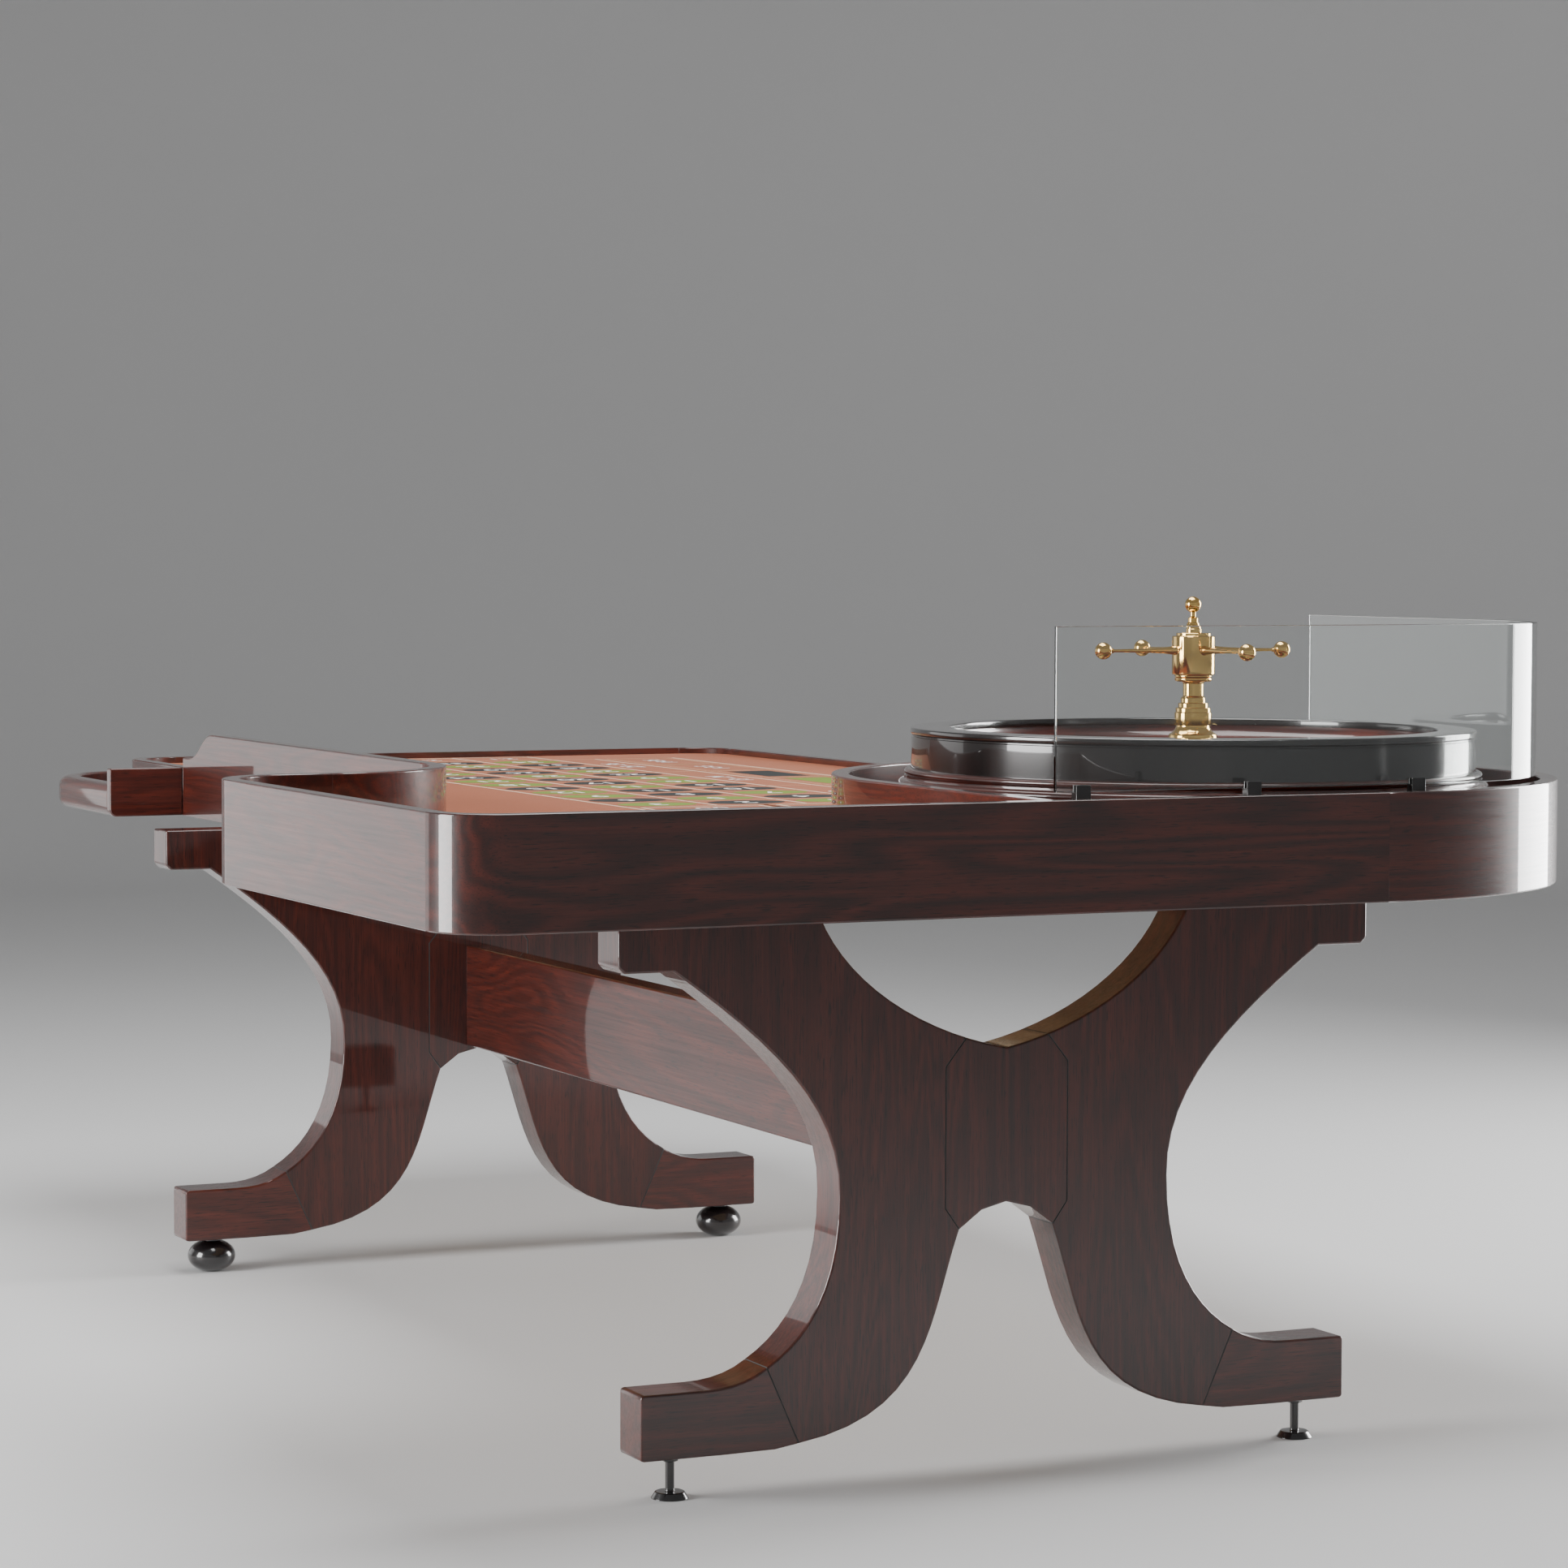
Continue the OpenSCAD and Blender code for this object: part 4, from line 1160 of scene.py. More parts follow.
@dataclass
class BettingCloth:
    """The stretched cloth and the betting layout printed on it. Sizes are in metres."""

    finishes: Finishes
    zero_end: float = -0.112
    top: float = 0.385
    pitch_x: float = 0.1188
    pitch_y: float = 0.1517
    columns: int = 12
    line: float = 0.006
    oval_x: float = 0.044
    oval_y: float = 0.064
    print_lift: float = 0.00015
    figure: float = 0.042
    dozen_h: float = 0.085
    outside_h: float = 0.140
    even_gap: float = 0.018
    chance_w: float = 0.135
    zero_w: float = 0.135
    red_numbers: frozenset[int] = frozenset(
        (1, 3, 5, 7, 9, 12, 14, 16, 18, 19, 21, 23, 25, 27, 30, 32, 34, 36))

    def build(self) -> None:
        low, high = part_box("playing_cloth")
        self.z = high.z + self.print_lift
        bm = bmesh.new()
        bm.from_mesh(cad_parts["playing_cloth"].data)
        tidy(bm)
        area = sum(f.calc_area() for f in bm.faces if f.normal.z > 0.9)
        mesh = bpy.data.meshes.new("gaming_cloth")
        bm.to_mesh(mesh)
        bm.free()
        cloth = new_piece("gaming_cloth", mesh, self.finishes.get(CLOTH))
        settle(cloth, "table", "cloth", "playing_cloth")
        prints = [self.lines(), self.boxes(), *self.ovals(), self.numbers()]
        for piece in prints:
            settle(piece, "table", "cloth")

    def cell(self, column: int, row: int) -> Point:
        """The middle of a number's cell, counted from the zero and from the players' side."""
        return (self.zero_end - (column + 0.5) * self.pitch_x, self.top - (row + 0.5) * self.pitch_y)

    def lines(self) -> bpy.types.Object:
        """The cream lines that divide the layout.

        Returns:
            The piece.
        """
        flat = Flat(self.z)
        far_end = self.zero_end - self.columns * self.pitch_x
        low = self.top - 3 * self.pitch_y
        half = self.line / 2
        for row in range(4):
            y = self.top - row * self.pitch_y
            flat.rectangle(far_end - self.chance_w, y - half, self.zero_end, y + half)
        flat.rectangle(far_end - self.chance_w - half, low, far_end - self.chance_w + half, self.top)
        dozens = self.top + self.dozen_h
        outside = dozens + self.even_gap + self.outside_h
        for y in (dozens, outside):
            flat.rectangle(far_end, y - half, self.zero_end, y + half)
        self.zero_boxes(flat, low)
        return flat.finish("layout_lines", self.finishes.get(CREAM))

    def zero_boxes(self, flat: Flat, low: float) -> None:
        """The two zeros' boxes, with their outer corners cut off."""
        half, cut = self.line / 2, 0.035
        middle = (self.top + low) / 2
        for y0, y1 in ((low, middle), (middle, self.top)):
            x0, x1 = self.zero_end, self.zero_end + self.zero_w
            outer = [(x0, y0), (x1 - cut, y0), (x1, y0 + cut), (x1, y1 - cut), (x1 - cut, y1), (x0, y1)]
            for inset in (0.0, 0.016):
                self.loop(flat, self.shrink(outer, inset), half)

    def shrink(self, points: Sequence[Point], inset: float) -> list[Point]:
        """The outline drawn in towards its middle by about the inset."""
        cx = sum(p[0] for p in points) / len(points)
        cy = sum(p[1] for p in points) / len(points)
        wide = max(p[0] for p in points) - min(p[0] for p in points)
        tall = max(p[1] for p in points) - min(p[1] for p in points)
        kx, ky = 1 - 2 * inset / wide, 1 - 2 * inset / tall
        return [(cx + (x - cx) * kx, cy + (y - cy) * ky) for x, y in points]

    def loop(self, flat: Flat, points: Sequence[Point], half: float) -> None:
        """A closed line through the points."""
        for (ax, ay), (bx, by) in zip(points, [*points[1:], points[0]]):
            run = math.hypot(bx - ax, by - ay)
            ux, uy = (bx - ax) / run, (by - ay) / run
            nx, ny = -uy * half, ux * half
            flat.polygon([(ax - nx, ay - ny), (bx - nx, by - ny), (bx + nx, by + ny), (ax + nx, ay + ny)])

    def boxes(self) -> bpy.types.Object:
        """The lighter lines between cells and round the side bets.

        Returns:
            The piece.
        """
        flat = Flat(self.z + 0.00002)
        low = self.top - 3 * self.pitch_y
        half = self.line / 2
        for column in range(self.columns + 1):
            x = self.zero_end - column * self.pitch_x
            flat.rectangle(x - half, low, x + half, self.top)
        far_end = self.zero_end - self.columns * self.pitch_x
        dozens = self.top + self.dozen_h
        for i in range(4):
            x = self.zero_end - i * 4 * self.pitch_x
            flat.rectangle(x - half, self.top, x + half, dozens)
        gap = 0.012
        for row in range(3):
            y1 = self.top - row * self.pitch_y - gap
            flat.frame(far_end - self.chance_w + gap, y1 - self.pitch_y + 2 * gap, far_end - gap, y1, 0.004)
        for i in range(6):
            x1 = self.zero_end - i * 2 * self.pitch_x
            x0 = x1 - 2 * self.pitch_x
            y0 = dozens + self.even_gap
            flat.frame(x0 + 0.004, y0, x1 - 0.004, y0 + self.outside_h - 0.008, 0.005)
            flat.frame(x0 + gap + 0.004, y0 + gap, x1 - gap - 0.004,
                       y0 + self.outside_h - 0.008 - gap, 0.003)
        return flat.finish("layout_boxes", self.finishes.get(PEACH))

    def ovals(self) -> list[bpy.types.Object]:
        """The ovals under the numbers, in two colours, and the two colour bets.

        Returns:
            The pieces.
        """
        spots: dict[bool, list[tuple[int, int]]] = {True: [], False: []}
        for number in range(1, 3 * self.columns + 1):
            spots[number in self.red_numbers].append(((number - 1) // 3, (number - 1) % 3))
        x, y = self.cell(0, 0)
        out = []
        for is_red, name, ink, place in ((True, "olive_ovals", GREEN, 2), (False, "black_ovals", BLACK, 3)):
            material = self.finishes.get(ink)
            out.append(grid_of_ovals(name, spots[is_red], (x, y, self.z), (-self.pitch_x, -self.pitch_y, 1),
                                     (self.oval_x, self.oval_y, 1), material))
            flat = Flat(self.z + 0.00004)
            cx = self.zero_end - (place * 2 + 1) * self.pitch_x
            cy = self.top + self.dozen_h + self.even_gap + (self.outside_h - 0.008) / 2
            flat.rectangle(cx - 0.088, cy - 0.040, cx + 0.088, cy + 0.040)
            out.append(flat.finish(name.split("_")[0] + "_bet", material))
        return out

    def numbers(self) -> bpy.types.Object:
        """The white figures, read from the far end of the table.

        Returns:
            The piece.
        """
        flat = Flat(self.z)

        def put(text: str, x: float, y: float, size: float, turn: float = -90.0) -> None:
            """Prints figures at a place."""
            place = (Matrix.Translation((x, y, self.z + 0.00008))
                     @ Matrix.Rotation(math.radians(turn), 4, "Z"))
            flat.figures(text, size, place)

        for number in range(1, 3 * self.columns + 1):
            put(str(number), *self.cell((number - 1) // 3, (number - 1) % 3), self.figure)
        low = self.top - 3 * self.pitch_y
        zero_x = self.zero_end + self.zero_w / 2
        put("0", zero_x, low + 0.75 * 3 * self.pitch_y, self.figure)
        put("00", zero_x, low + 0.25 * 3 * self.pitch_y, self.figure)
        far_end = self.zero_end - self.columns * self.pitch_x
        for row in range(3):
            put("2:1", far_end - self.chance_w / 2, self.cell(0, row)[1], 0.034)
        for i, text in enumerate(("1 - 12", "13 - 24", "25 - 36")):
            put(text, self.zero_end - (4 * i + 2) * self.pitch_x, self.top + self.dozen_h / 2, 0.036, 180.0)
        y = self.top + self.dozen_h + self.even_gap + (self.outside_h - 0.008) / 2
        for i, text in ((0, "1-18"), (1, "2-4-6"), (4, "1-3-5"), (5, "19-36")):
            put(text, self.zero_end - (2 * i + 1) * self.pitch_x, y, 0.034, 180.0)
        return flat.finish("layout_figures", self.finishes.get(WHITE))


@dataclass
class Screen:
    """The L-shaped glass screen and its clamps."""

    finishes: Finishes

    def build(self) -> None:
        """Rounds the glass's edges and dresses the clamps."""
        glass = rounded_board("glass_screen", "glass_pane", 0.0012, self.finishes.get(GLASS))
        settle(glass, "table", "clear_glass", "glass_screen")
        clamps = rounded_board("screen_clamps", "screen_clamp_blocks", 0.001,
                               self.finishes.get(CLAMP_BLACK))
        settle(clamps, "table", "plated_steel", "screen_clamps")


@dataclass
class Bowl:
    """The wheel's fixed bowl: base, shell, moulding, rim, ball track and stops. Sizes in millimetres."""

    finishes: Finishes
    centre: Point
    deck: float
    radius: float = 405.0
    height: float = 143.0
    cap: float = 10.0
    rim: float = 56.0
    groove: float = 26.0
    slope: float = 58.0
    shell: float = 20.0
    base: float = 15.0

    def build(self) -> None:
        """Turns every ring of the bowl."""
        black = self.finishes.get(PIANO_BLACK)
        wood = self.finishes.wood(Grain.ROUND, 41.0, 0.2, centre=self.centre, radius=self.radius / 1000)
        track_z = self.height - self.cap
        inner = self.radius - self.rim
        r, top = self.radius, self.height
        rim = [(inner, track_z), (r - 1, track_z), *arc(r - 2, track_z + 2.5, 2.5, -80, 0, 4),
               *arc(r - 2.5, top - 3, 3, 0, 90, 6), *arc(inner + 3, top - 3, 3, 90, 180, 6)]
        self.ring("rim_cap", "bowl_rim", rim, black, "black_lacquer")
        shell = [(r - self.shell, self.base), (r - 0.6, self.base), (r - 0.6, track_z - 3),
                 (r - 1.6, track_z - 2.2), (r - 1.6, track_z - 0.4), (r - self.shell, track_z - 0.4)]
        self.ring("bowl_shell", "bowl_side", shell, black, "black_lacquer")
        bead = r + 18
        moulding = [(r, self.base), (r + 7, self.base), (r + 8, self.base + 1), (r + 8, 49),
                    (r + 8.6, 50.5), (r + 12, 53), *arc(bead - 7, 62, 7, -80, 80, 12), (bead - 8.6, 70),
                    (bead - 9, 71), (bead - 9, 74), *arc(r + 4, 79, 5, -60, 80, 10), (r + 1, 85), (r, 85)]
        self.ring("base_moulding", "bowl_moulding", moulding, wood, "dark_mahogany")
        dress("bowl_base", wood)
        self.track(track_z, inner)
        brass = self.finishes.get(BRASS)
        stops = rounded_board("ball_stops", "diamond_stops", 0.0012, brass)
        settle(stops, "table", "polished_brass", "ball_stops")
        dress("spindle", self.finishes.get(STEEL))

    def ring(self, node: str, name: str, outline: Sequence[Point], material: bpy.types.Material,
             slot: str, steps: int = 192) -> None:
        """Turns one ring and puts it in place of its CAD node."""
        piece = lathe(name, outline, self.centre, self.deck, material, steps)
        settle(piece, "table", slot, node)

    def track(self, track_z: float, inner: float) -> None:
        """Turns the ball track: a smooth groove and the slope below it."""
        groove_z = track_z - 21
        slope_z = track_z - 45
        end = inner - self.groove
        stator = end - self.slope
        back = self.radius - self.shell
        outline = [*curve((inner + 3, track_z), (inner + 1, track_z - 14), (inner - 12, groove_z),
                          (end, groove_z), 12),
                   (end - 0.8, groove_z - 0.2), (stator + 1, slope_z + 0.4), (stator, slope_z - 0.6),
                   (stator, slope_z - 28), (back, slope_z - 28), (back, track_z)]
        wood = self.finishes.wood(Grain.ROUND, 44.0, 0.9, centre=self.centre, radius=self.radius / 1000)
        piece = lathe("ball_track_ring", outline, self.centre, self.deck, wood, 192)
        settle(piece, "table", "red_mahogany", "ball_track")


@dataclass
class Rotor:
    """The turning part of the wheel under the turret. Sizes in millimetres above the deck."""

    finishes: Finishes
    centre: Point
    deck: float
    rotor_r: float = 262.0
    number_w: float = 48.0
    pocket_w: float = 38.0
    slope_z: float = 88.0
    dish_top: float = 64.0
    cone_z: float = 112.0
    hub_r: float = 40.0
    shaft_r: float = 15.0
    order: tuple[str, ...] = (
        "0", "28", "9", "26", "30", "11", "7", "20", "32", "17", "5", "22", "34", "15", "3", "24", "36", "13",
        "1", "00", "27", "10", "25", "29", "12", "8", "19", "31", "18", "6", "21", "33", "16", "4", "23", "35",
        "14", "2")

    def build(self) -> None:
        """Builds the number ring, the pockets and the cone."""
        number_in = self.rotor_r - self.number_w
        pocket_in = number_in - self.pocket_w
        black = self.finishes.get(PIANO_BLACK)
        ring = [(number_in, self.dish_top), (self.rotor_r, self.dish_top), (self.rotor_r, self.slope_z - 2.8),
                (self.rotor_r - 0.8, self.slope_z - 2), (number_in + 0.8, self.slope_z - 8),
                (number_in, self.slope_z - 8.8)]
        piece = lathe("number_ring_band", ring, self.centre, self.deck, black, 152)
        settle(piece, "rotor", "black_lacquer", "number_ring")
        self.pads(number_in)
        self.pockets(pocket_in, number_in)
        self.cone(pocket_in)
        dress("rotor_dish", self.finishes.wood(Grain.ROUND, 52.0, 0.4, centre=self.centre, radius=0.2))
        dress("rotor_bearings", self.finishes.get(STEEL))

    def sector(self, flat: Flat, i: int, r0: float, r1: float, z0: float, z1: float, share: float) -> None:
        """Adds a tilted ring sector for pocket i.

        Args:
            flat: The print to add it to.
            i: The pocket's place in the order.
            r0: The inner radius.
            r1: The outer radius.
            z0: The height at the inner radius.
            z1: The height at the outer radius.
            share: How much of the pocket's angle it covers.
        """
        made = []
        for a, r, z in self.rows(i, r0, r1, z0, z1, share):
            spot = (self.centre[0] + r / 1000 * math.cos(a), self.centre[1] + r / 1000 * math.sin(a),
                    self.deck + z / 1000)
            made.append(flat.bm.verts.new(spot))
        flat.bm.faces.new(made)

    def rows(self, i: int, r0: float, r1: float, z0: float, z1: float,
             share: float) -> list[tuple[float, float, float]]:
        """The outline of a ring sector: angle, radius and height of each corner."""
        step = 2 * math.pi / len(self.order)
        turn = [step * (i + 0.5 + share * s) for s in (-0.5, -0.25, 0.0, 0.25, 0.5)]
        return [(a, r1, z1) for a in turn] + [(a, r0, z0) for a in reversed(turn)]

    def pads(self, number_in: float) -> None:
        """The coloured pads and the figures on the number ring, and the coloured pocket floors."""
        red = BettingCloth.red_numbers
        kinds = {"olive": ENAMEL_GREEN, "black": ENAMEL_BLACK, "terracotta": ENAMEL_AMBER}
        for kind, ink in kinds.items():
            flat = Flat(0.0)
            for i, text in enumerate(self.order):
                colour = "terracotta" if text in ("0", "00") else "olive" if int(text) in red else "black"
                if colour == kind:
                    self.sector(flat, i, number_in + 3, self.rotor_r - 3, self.slope_z - 7.3,
                                self.slope_z - 1.9, 0.93)
                    self.sector(flat, i, number_in - self.pocket_w + 1, number_in - 1, self.dish_top + 6.3,
                                self.dish_top + 6.3, 0.9)
            piece = flat.finish(kind + "_pads", self.finishes.get(ink))
            settle(piece, "rotor", "black_lacquer")
        flat = Flat(0.0)
        step = 2 * math.pi / len(self.order)
        lean = math.atan2(6.0, self.number_w)
        middle = number_in + self.number_w * 0.55
        for i, text in enumerate(self.order):
            place = (Matrix.Translation((*self.centre, self.deck)) @ Matrix.Rotation(step * (i + 0.5), 4, "Z")
                     @ Matrix.Translation((middle / 1000, 0, (self.slope_z - 3.8) / 1000))
                     @ Matrix.Rotation(-lean, 4, "Y") @ Matrix.Rotation(-math.pi / 2, 4, "Z"))
            flat.figures(text, 0.021, place)
        piece = flat.finish("ring_figures", self.finishes.get(ENAMEL_WHITE))
        settle(piece, "rotor", "black_lacquer")

    def pockets(self, pocket_in: float, number_in: float) -> None:
        """The pocket ring's floor, and a fret between each two pockets."""
        steel = self.finishes.get(STEEL)
        floor = [(pocket_in, self.dish_top), (number_in, self.dish_top), (number_in, self.dish_top + 6),
                 (pocket_in, self.dish_top + 6)]
        piece = lathe("pocket_floor", floor, self.centre, self.deck, steel, 152)
        settle(piece, "rotor", "plated_steel", "pocket_ring")
        low, high = self.dish_top + 6, self.slope_z - 9
        frets = ring_of_blocks("pocket_frets", len(self.order), (pocket_in + number_in) / 2000,
                               (*self.centre, self.deck + (low + high) / 2000),
                               ((number_in - pocket_in - 1) / 1000, 0.0018, (high - low) / 1000), 0.0,
                               self.finishes.get(BRASS))
        settle(frets, "rotor", "plated_steel")

    def cone(self, pocket_in: float) -> None:
        """The polished cone from the pockets up to the turret."""
        skin = curve((pocket_in, self.slope_z - 7), (pocket_in - 50, self.slope_z - 2),
                     ((pocket_in + self.hub_r) / 2, self.cone_z - 8), (self.hub_r + 8, self.cone_z), 16)
        outline = [(self.hub_r, self.dish_top), (pocket_in, self.dish_top), *skin,
                   (self.shaft_r, self.cone_z), (self.shaft_r, self.cone_z - 14),
                   (self.hub_r, self.cone_z - 14)]
        wood = self.finishes.wood(Grain.ROUND, 55.0, 1.0, centre=self.centre, radius=0.12)
        piece = lathe("rotor_cone_wood", outline, self.centre, self.deck, wood, 144, angle=40.0)
        settle(piece, "rotor", "red_mahogany", "rotor_cone")


@dataclass
class Turret:
    """The turned brass turret with its arms and finial. Sizes in millimetres above the bowl's rim."""

    finishes: Finishes
    centre: Point
    rim: float
    foot_z: float = -31.0
    drum_r: float = 31.0
    drum_low: float = 76.0
    drum_top: float = 136.0
    neck_r: float = 14.6
    reach: float = 148.0
    ball_r: float = 12.3
    rise: float = 111.0

    def build(self) -> None:
        """Turns the four brass pieces."""
        brass = self.finishes.get(BRASS)
        f, t = self.foot_z, self.drum_top
        foot = [(0, f), (39.4, f), (40, f + 0.8), (40, f + 3.2), (39.4, f + 4), (37.6, f + 4.6),
                *curve((37, f + 6), (36.4, f + 12), (35, -14), (34.6, -10.6), 8), (34.1, -9.6), (33, -9),
                *curve((32, -8.4), (27, -5), (24.4, -1), (24, 3), 10), (26, 3.3), (26.6, 4),
                *self.step(26.6, 22, 25.2), *self.step(25.2, 28.5, 21.5), *self.step(21.5, 35.3, 17.6),
                (17.6, 41.6), *curve((17.4, 42), (17, 44), (15.4, 44), (self.neck_r, 46), 5),
                (self.neck_r, 62.6),
                *curve((self.neck_r, 62.8), (self.neck_r + 0.3, 64.6), (16.2, 64.4), (17, 66), 4), (0, 66)]
        self.piece("turret_foot", "turret_foot_turning", foot, brass)
        d = self.drum_r
        drum = [(0, 66), (21.4, 66), *arc(23.5, 69.5, 3.5, -90, 90, 10), (26.4, 73), (27, 73.6),
                (27, self.drum_low - 1.4), (27.5, self.drum_low - 0.5), (28.4, self.drum_low),
                *arc(d - 1.6, self.drum_low + 1.6, 1.6, -90, 0, 4), (d, t - 5.6), (d - 0.6, t - 4.8),
                (d - 1.4, t - 4.4), (25.4, t - 4.1), (25, t - 3.6), (25, t - 0.7), (24.3, t), (0, t)]
        self.piece("turret_drum", "turret_drum_turning", drum, brass)
        ball_z, ball_r, stalk = t + 40.5, 11.7, 3.9
        a0 = -math.degrees(math.acos(stalk / ball_r))
        finial = [(0, t), (10.9, t), (11.3, t + 0.4), (11.3, t + 5.3), (10.9, t + 5.8),
                  *curve((10.5, t + 6), (10.2, t + 9), (8.9, t + 11.5), (8.5, t + 14.2), 8),
                  (8.2, t + 14.7), (7.3, t + 14.9), (7.1, t + 15.4), (7.1, t + 20.4),
                  *curve((7, t + 21), (6, t + 22.4), (stalk, t + 22.2), (stalk, t + 25), 6),
                  *arc(0, ball_z, ball_r, a0, 90, 24)]
        self.piece("turret_finial", "turret_finial_turning", finial, brass)
        self.arms(brass)

    def step(self, r0: float, z: float, r1: float) -> list[Point]:
        """A rounded step in a turning, at height z, from radius r0 in to r1."""
        return [(r0, z - 0.9), (r0 - 0.3, z - 0.3), (r0 - 0.9, z), (r1 + 0.3, z + 0.3), (r1, z + 0.8)]

    def piece(self, node: str, name: str, outline: Sequence[Point], material: bpy.types.Material) -> None:
        """Turns one piece and puts it in place of its CAD node."""
        made = lathe(name, outline, self.centre, self.rim, material, 96, closed=False, angle=22.0)
        settle(made, "rotor", "polished_brass", node)

    def arms(self, material: bpy.types.Material) -> None:
        """Turns one arm with its ball, and sets one copy to each of four sides."""
        d = self.drum_r
        root = d - 0.6
        neck = self.reach - self.ball_r
        a0 = -math.degrees(math.acos(2.6 / self.ball_r))
        outline = [(0, d - 11), (4, d - 11), (4, root), (7, root), (7, root + 1.4),
                   *curve((6.4, root + 2.4), (4.6, root + 16), (3.0, root + 30), (2.2, neck - 6), 12),
                   (2.2, neck - 4), (3.4, neck - 3.4), (3.4, neck - 1.6), (2.6, neck - 1),
                   *arc(0, self.reach, self.ball_r, a0, 90, 24)]
        one = lathe("arm", outline, (0.0, 0.0), 0.0, material, 40, closed=False)
        bm = bmesh.new()
        for i in range(4):
            bm.from_mesh(one.data)
            fresh = bm.verts[-len(one.data.vertices):]
            place = (Matrix.Translation((*self.centre, self.rim + self.rise / 1000))
                     @ Matrix.Rotation(i * math.pi / 2, 4, "Z") @ Matrix.Rotation(math.pi / 2, 4, "Y"))
            bmesh.ops.transform(bm, matrix=place, verts=fresh)
        mesh = bpy.data.meshes.new("turret_arm_turnings")
        bm.to_mesh(mesh)
        bm.free()
        bpy.data.objects.remove(one)
        smooth_by_angle(mesh)
        settle(new_piece("turret_arm_turnings", mesh, material), "rotor", "polished_brass", "turret_arms")


@dataclass
class Feet:
    """The black ball feet under the far trestle and the slim levelling feet under the near one."""

    finishes: Finishes
    lift: float = 56.0

    def build(self) -> None:
        """Turns the ball feet, and rounds the levelling feet."""
        black = self.finishes.get(FOOT_BLACK)
        for side in ("left", "right"):
            node = f"far_{side}_ball_foot"
            low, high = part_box(node)
            centre = ((low.x + high.x) / 2, (low.y + high.y) / 2)
            piece = lathe(node + "_turning", self.ball(1000 * (high.x - low.x) / 2, 1000 * high.z), centre, 0.0,
                          black, 96, closed=False)
            settle(piece, f"far_{side}_glide", "black_gloss", node)
            node = f"near_{side}_pad"
            piece = rounded_board(node, node + "_foot", 0.0012, black)
            settle(piece, f"near_{side}_glide", "black_gloss", node)
        dress("stem_bushes", self.finishes.get(STEEL))

    def ball(self, radius: float, top: float) -> list[Point]:
        """The outline of a flattened ball with a collar and a stem."""
        collar = self.lift - 4.5
        tall = (collar + 2) / (1 + math.sin(math.radians(68)))
        middle = tall * math.sin(math.radians(68))
        oval = [(radius * math.cos(math.radians(a)), middle + tall * math.sin(math.radians(a)))
                for a in (-68 + (68 + 68) * i / 28 for i in range(29))]
        flat_bottom = [(0, 0), (oval[0][0], 0)]
        return [*flat_bottom, *oval, (15, collar), (15, collar + 3.6), (14.6, collar + 4), (6, collar + 4),
                (6, top), (0, top)]


# ---------------------------------------------------------------- stage


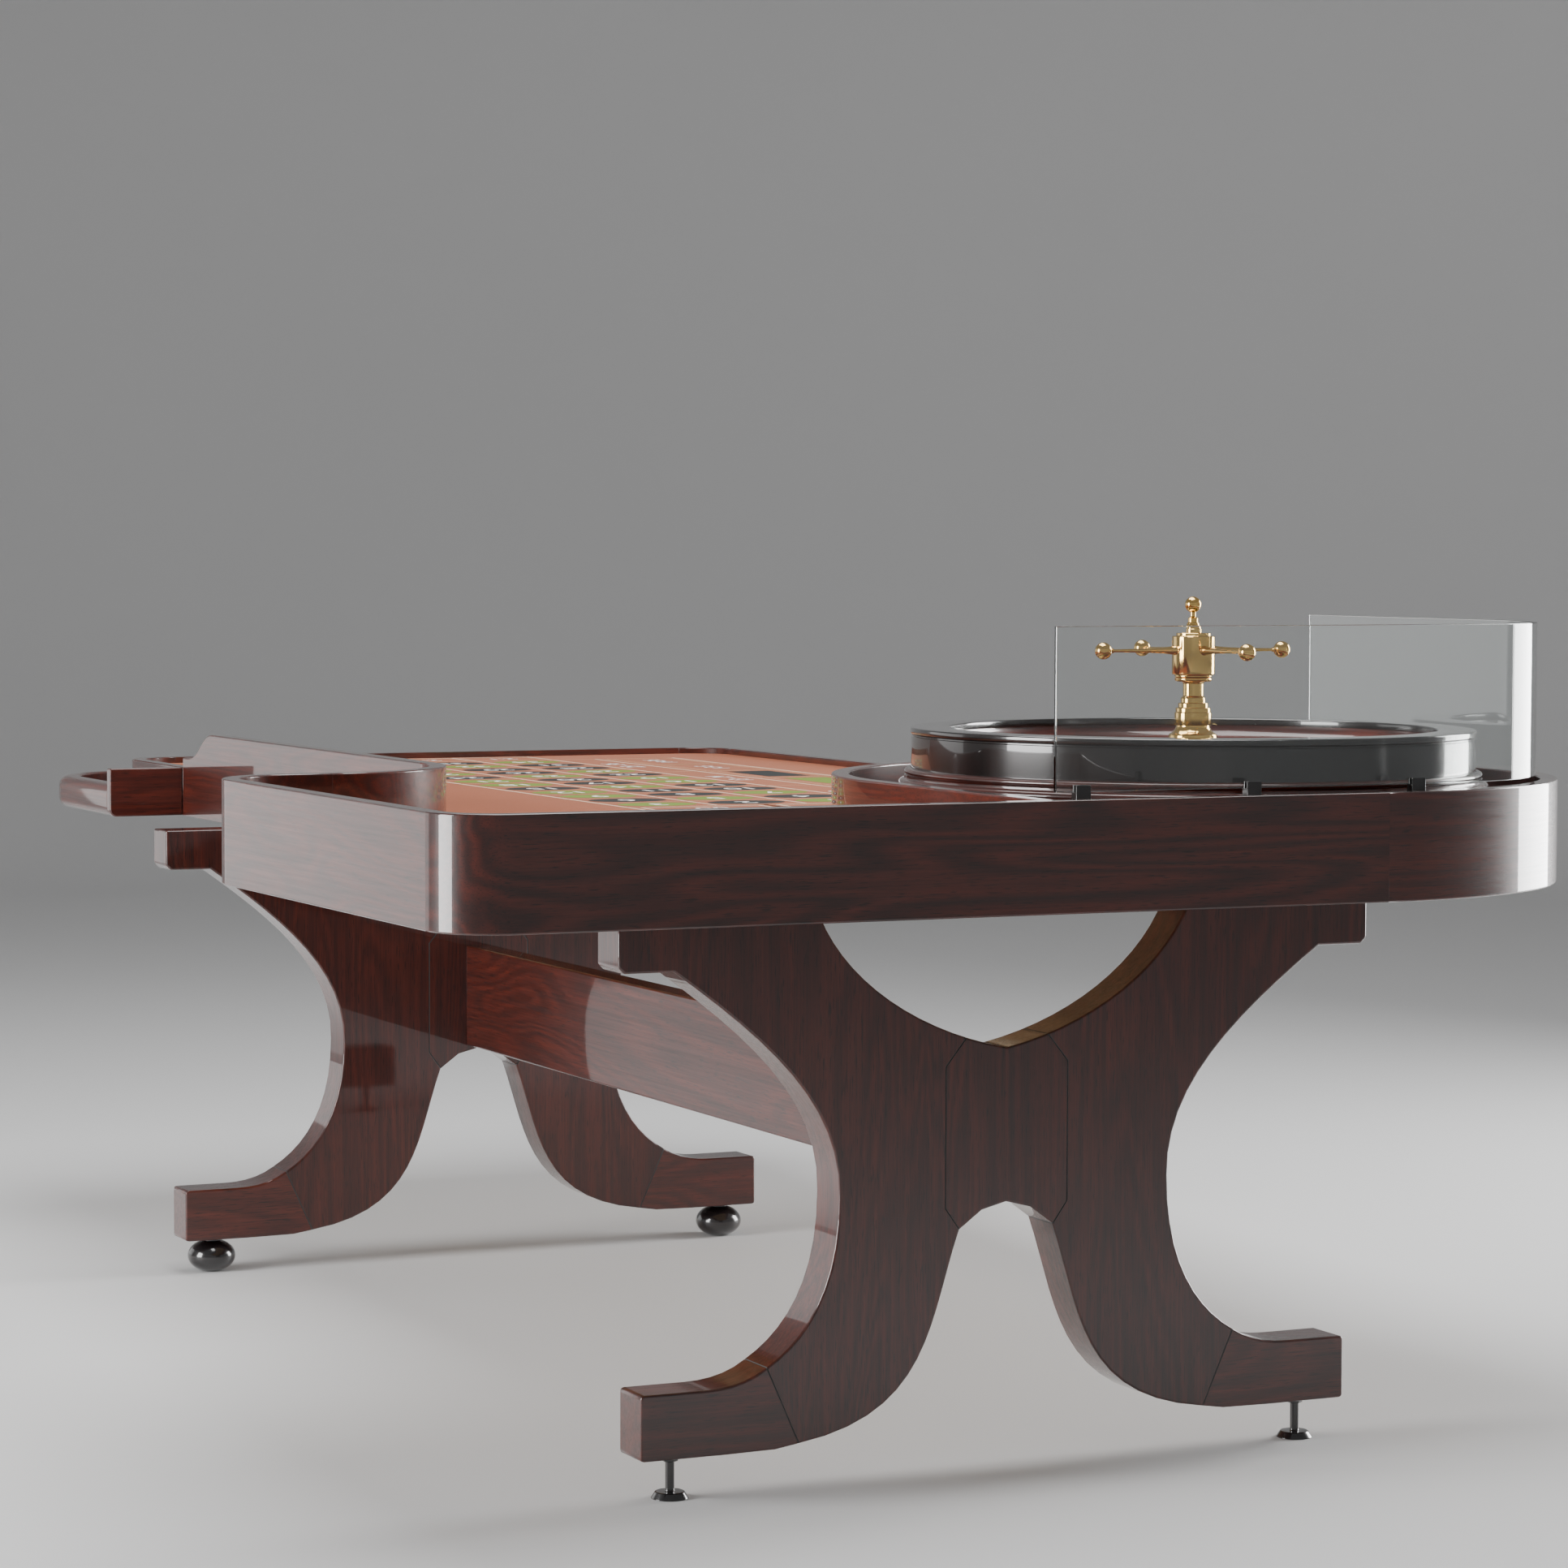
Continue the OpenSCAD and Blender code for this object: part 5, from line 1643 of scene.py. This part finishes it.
@dataclass(frozen=True)
class Studio:
    """The pale floor, the soft lights and the camera."""

    eye: Coords = (5.9845, -2.663, 1.2103)
    yaw: float = 0.4383
    pitch: float = 0.0541
    roll: float = 0.003
    lens: float = 99.573
    floor_grey: float = 0.72
    world_grey: float = 0.34

    def build(self) -> None:
        """Builds the camera, the floor and the lights."""
        self.camera()
        self.floor()
        world = bpy.data.worlds.new("studio")
        world.use_nodes = True
        background = world.node_tree.nodes["Background"]
        background.inputs[0].default_value = (self.world_grey, self.world_grey, self.world_grey * 1.01, 1)
        background.inputs[1].default_value = 0.75
        bpy.context.scene.world = world
        self.softbox("left", (0.0, -4.7, 1.5), (1.0, -0.8, 1.2), (2.0, 2.8), 310.0)
        self.softbox("right", (-0.1, 4.7, 1.5), (1.0, 0.8, 1.2), (2.0, 2.8), 330.0)
        self.softbox("haze", (-4.6, -2.9, 1.3), (0.0, -0.5, 0.9), (3.0, 2.4), 22.0)
        self.softbox("top", (-0.4, 0.2, 4.2), (-0.4, 0.0, 0.8), (3.6, 2.2), 170.0)

    def camera(self) -> None:
        """Places the camera."""
        forward = Vector((-math.cos(self.yaw) * math.cos(self.pitch),
                          math.sin(self.yaw) * math.cos(self.pitch),
                          -math.sin(self.pitch)))
        right = forward.cross(Vector((0, 0, 1))).normalized()
        up = right.cross(forward)
        side = right * math.cos(self.roll) + up * math.sin(self.roll)
        top = up * math.cos(self.roll) - right * math.sin(self.roll)
        data = bpy.data.cameras.new("camera")
        data.lens = self.lens
        data.sensor_width = 36.0
        data.clip_end = 200.0
        camera = bpy.data.objects.new("camera", data)
        camera.matrix_world = (Matrix.Translation(self.eye)
                               @ Matrix((side, top, -forward)).transposed().to_4x4())
        bpy.context.scene.collection.objects.link(camera)
        bpy.context.scene.camera = camera

    def floor(self) -> None:
        """Lays a round pale floor that sweeps up into a wall."""
        wall, bend = 12000.0, 3000.0
        outline = [(0, 0), (3000, 0), *arc(wall - bend, bend, bend, -90, 0, 24), (wall, 7000)]
        n = Nodes("studio_floor")
        cloud = n.noise(n.coords(), 0.6, 2.0)
        grey = (self.floor_grey,) * 3
        n.link(n.mix(cloud, grey, tuple(0.97 * v for v in grey)), n.shader.inputs["Base Color"])
        n.set(Roughness=0.6)
        lathe("floor", outline, (0.0, 0.0), 0.0, n.material, 96, closed=False)

    def softbox(self, name: str, place: Coords, aim: Coords, size: Point, watts: float) -> None:
        """Hangs one soft area light, aimed at a point.

        Args:
            name: The light's name.
            place: Where it hangs.
            aim: Where it points.
            size: Its width and height.
            watts: Its power.
        """
        data = bpy.data.lights.new(name, "AREA")
        data.shape = "RECTANGLE"
        data.size, data.size_y = size
        data.energy = watts
        light = bpy.data.objects.new(name, data)
        light.location = place
        light.rotation_euler = (Vector(aim) - Vector(place)).to_track_quat("-Z", "Y").to_euler()
        bpy.context.scene.collection.objects.link(light)


def dress(node: str, material: bpy.types.Material) -> None:
    """Gives a CAD node, which stays as it is, a better finish.

    Args:
        node: The CAD node's name.
        material: Its new finish.
    """
    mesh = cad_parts[node].data
    mesh.materials.clear()
    mesh.materials.append(material)
    LOG.info("dressed %s", node)


def corners(box: tuple[Vector, Vector]) -> list[list[float]]:
    """A box's two corners as plain lists."""
    return [[round(v, 6) for v in corner] for corner in box]


def main() -> None:
    """Builds the sub-assemblies in order."""
    logging.basicConfig(level=logging.INFO, format="%(name)s: %(message)s")
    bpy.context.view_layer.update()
    Studio().build()
    finishes = Finishes()
    low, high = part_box("bowl_shell")
    centre = ((low.x + high.x) / 2, (low.y + high.y) / 2)
    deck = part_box("bowl_base")[0].z
    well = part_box("well_outer_wall")
    well_radius = well[1].x - centre[0]
    for part in (Trestles(finishes), Body(finishes, centre, well_radius), Ledge(finishes),
                 BettingCloth(finishes), Screen(finishes), Bowl(finishes, centre, deck),
                 Rotor(finishes, centre, deck), Turret(finishes, centre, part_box("rim_cap")[1].z),
                 Feet(finishes)):
        part.build()


if __name__ == "__main__":
    main()
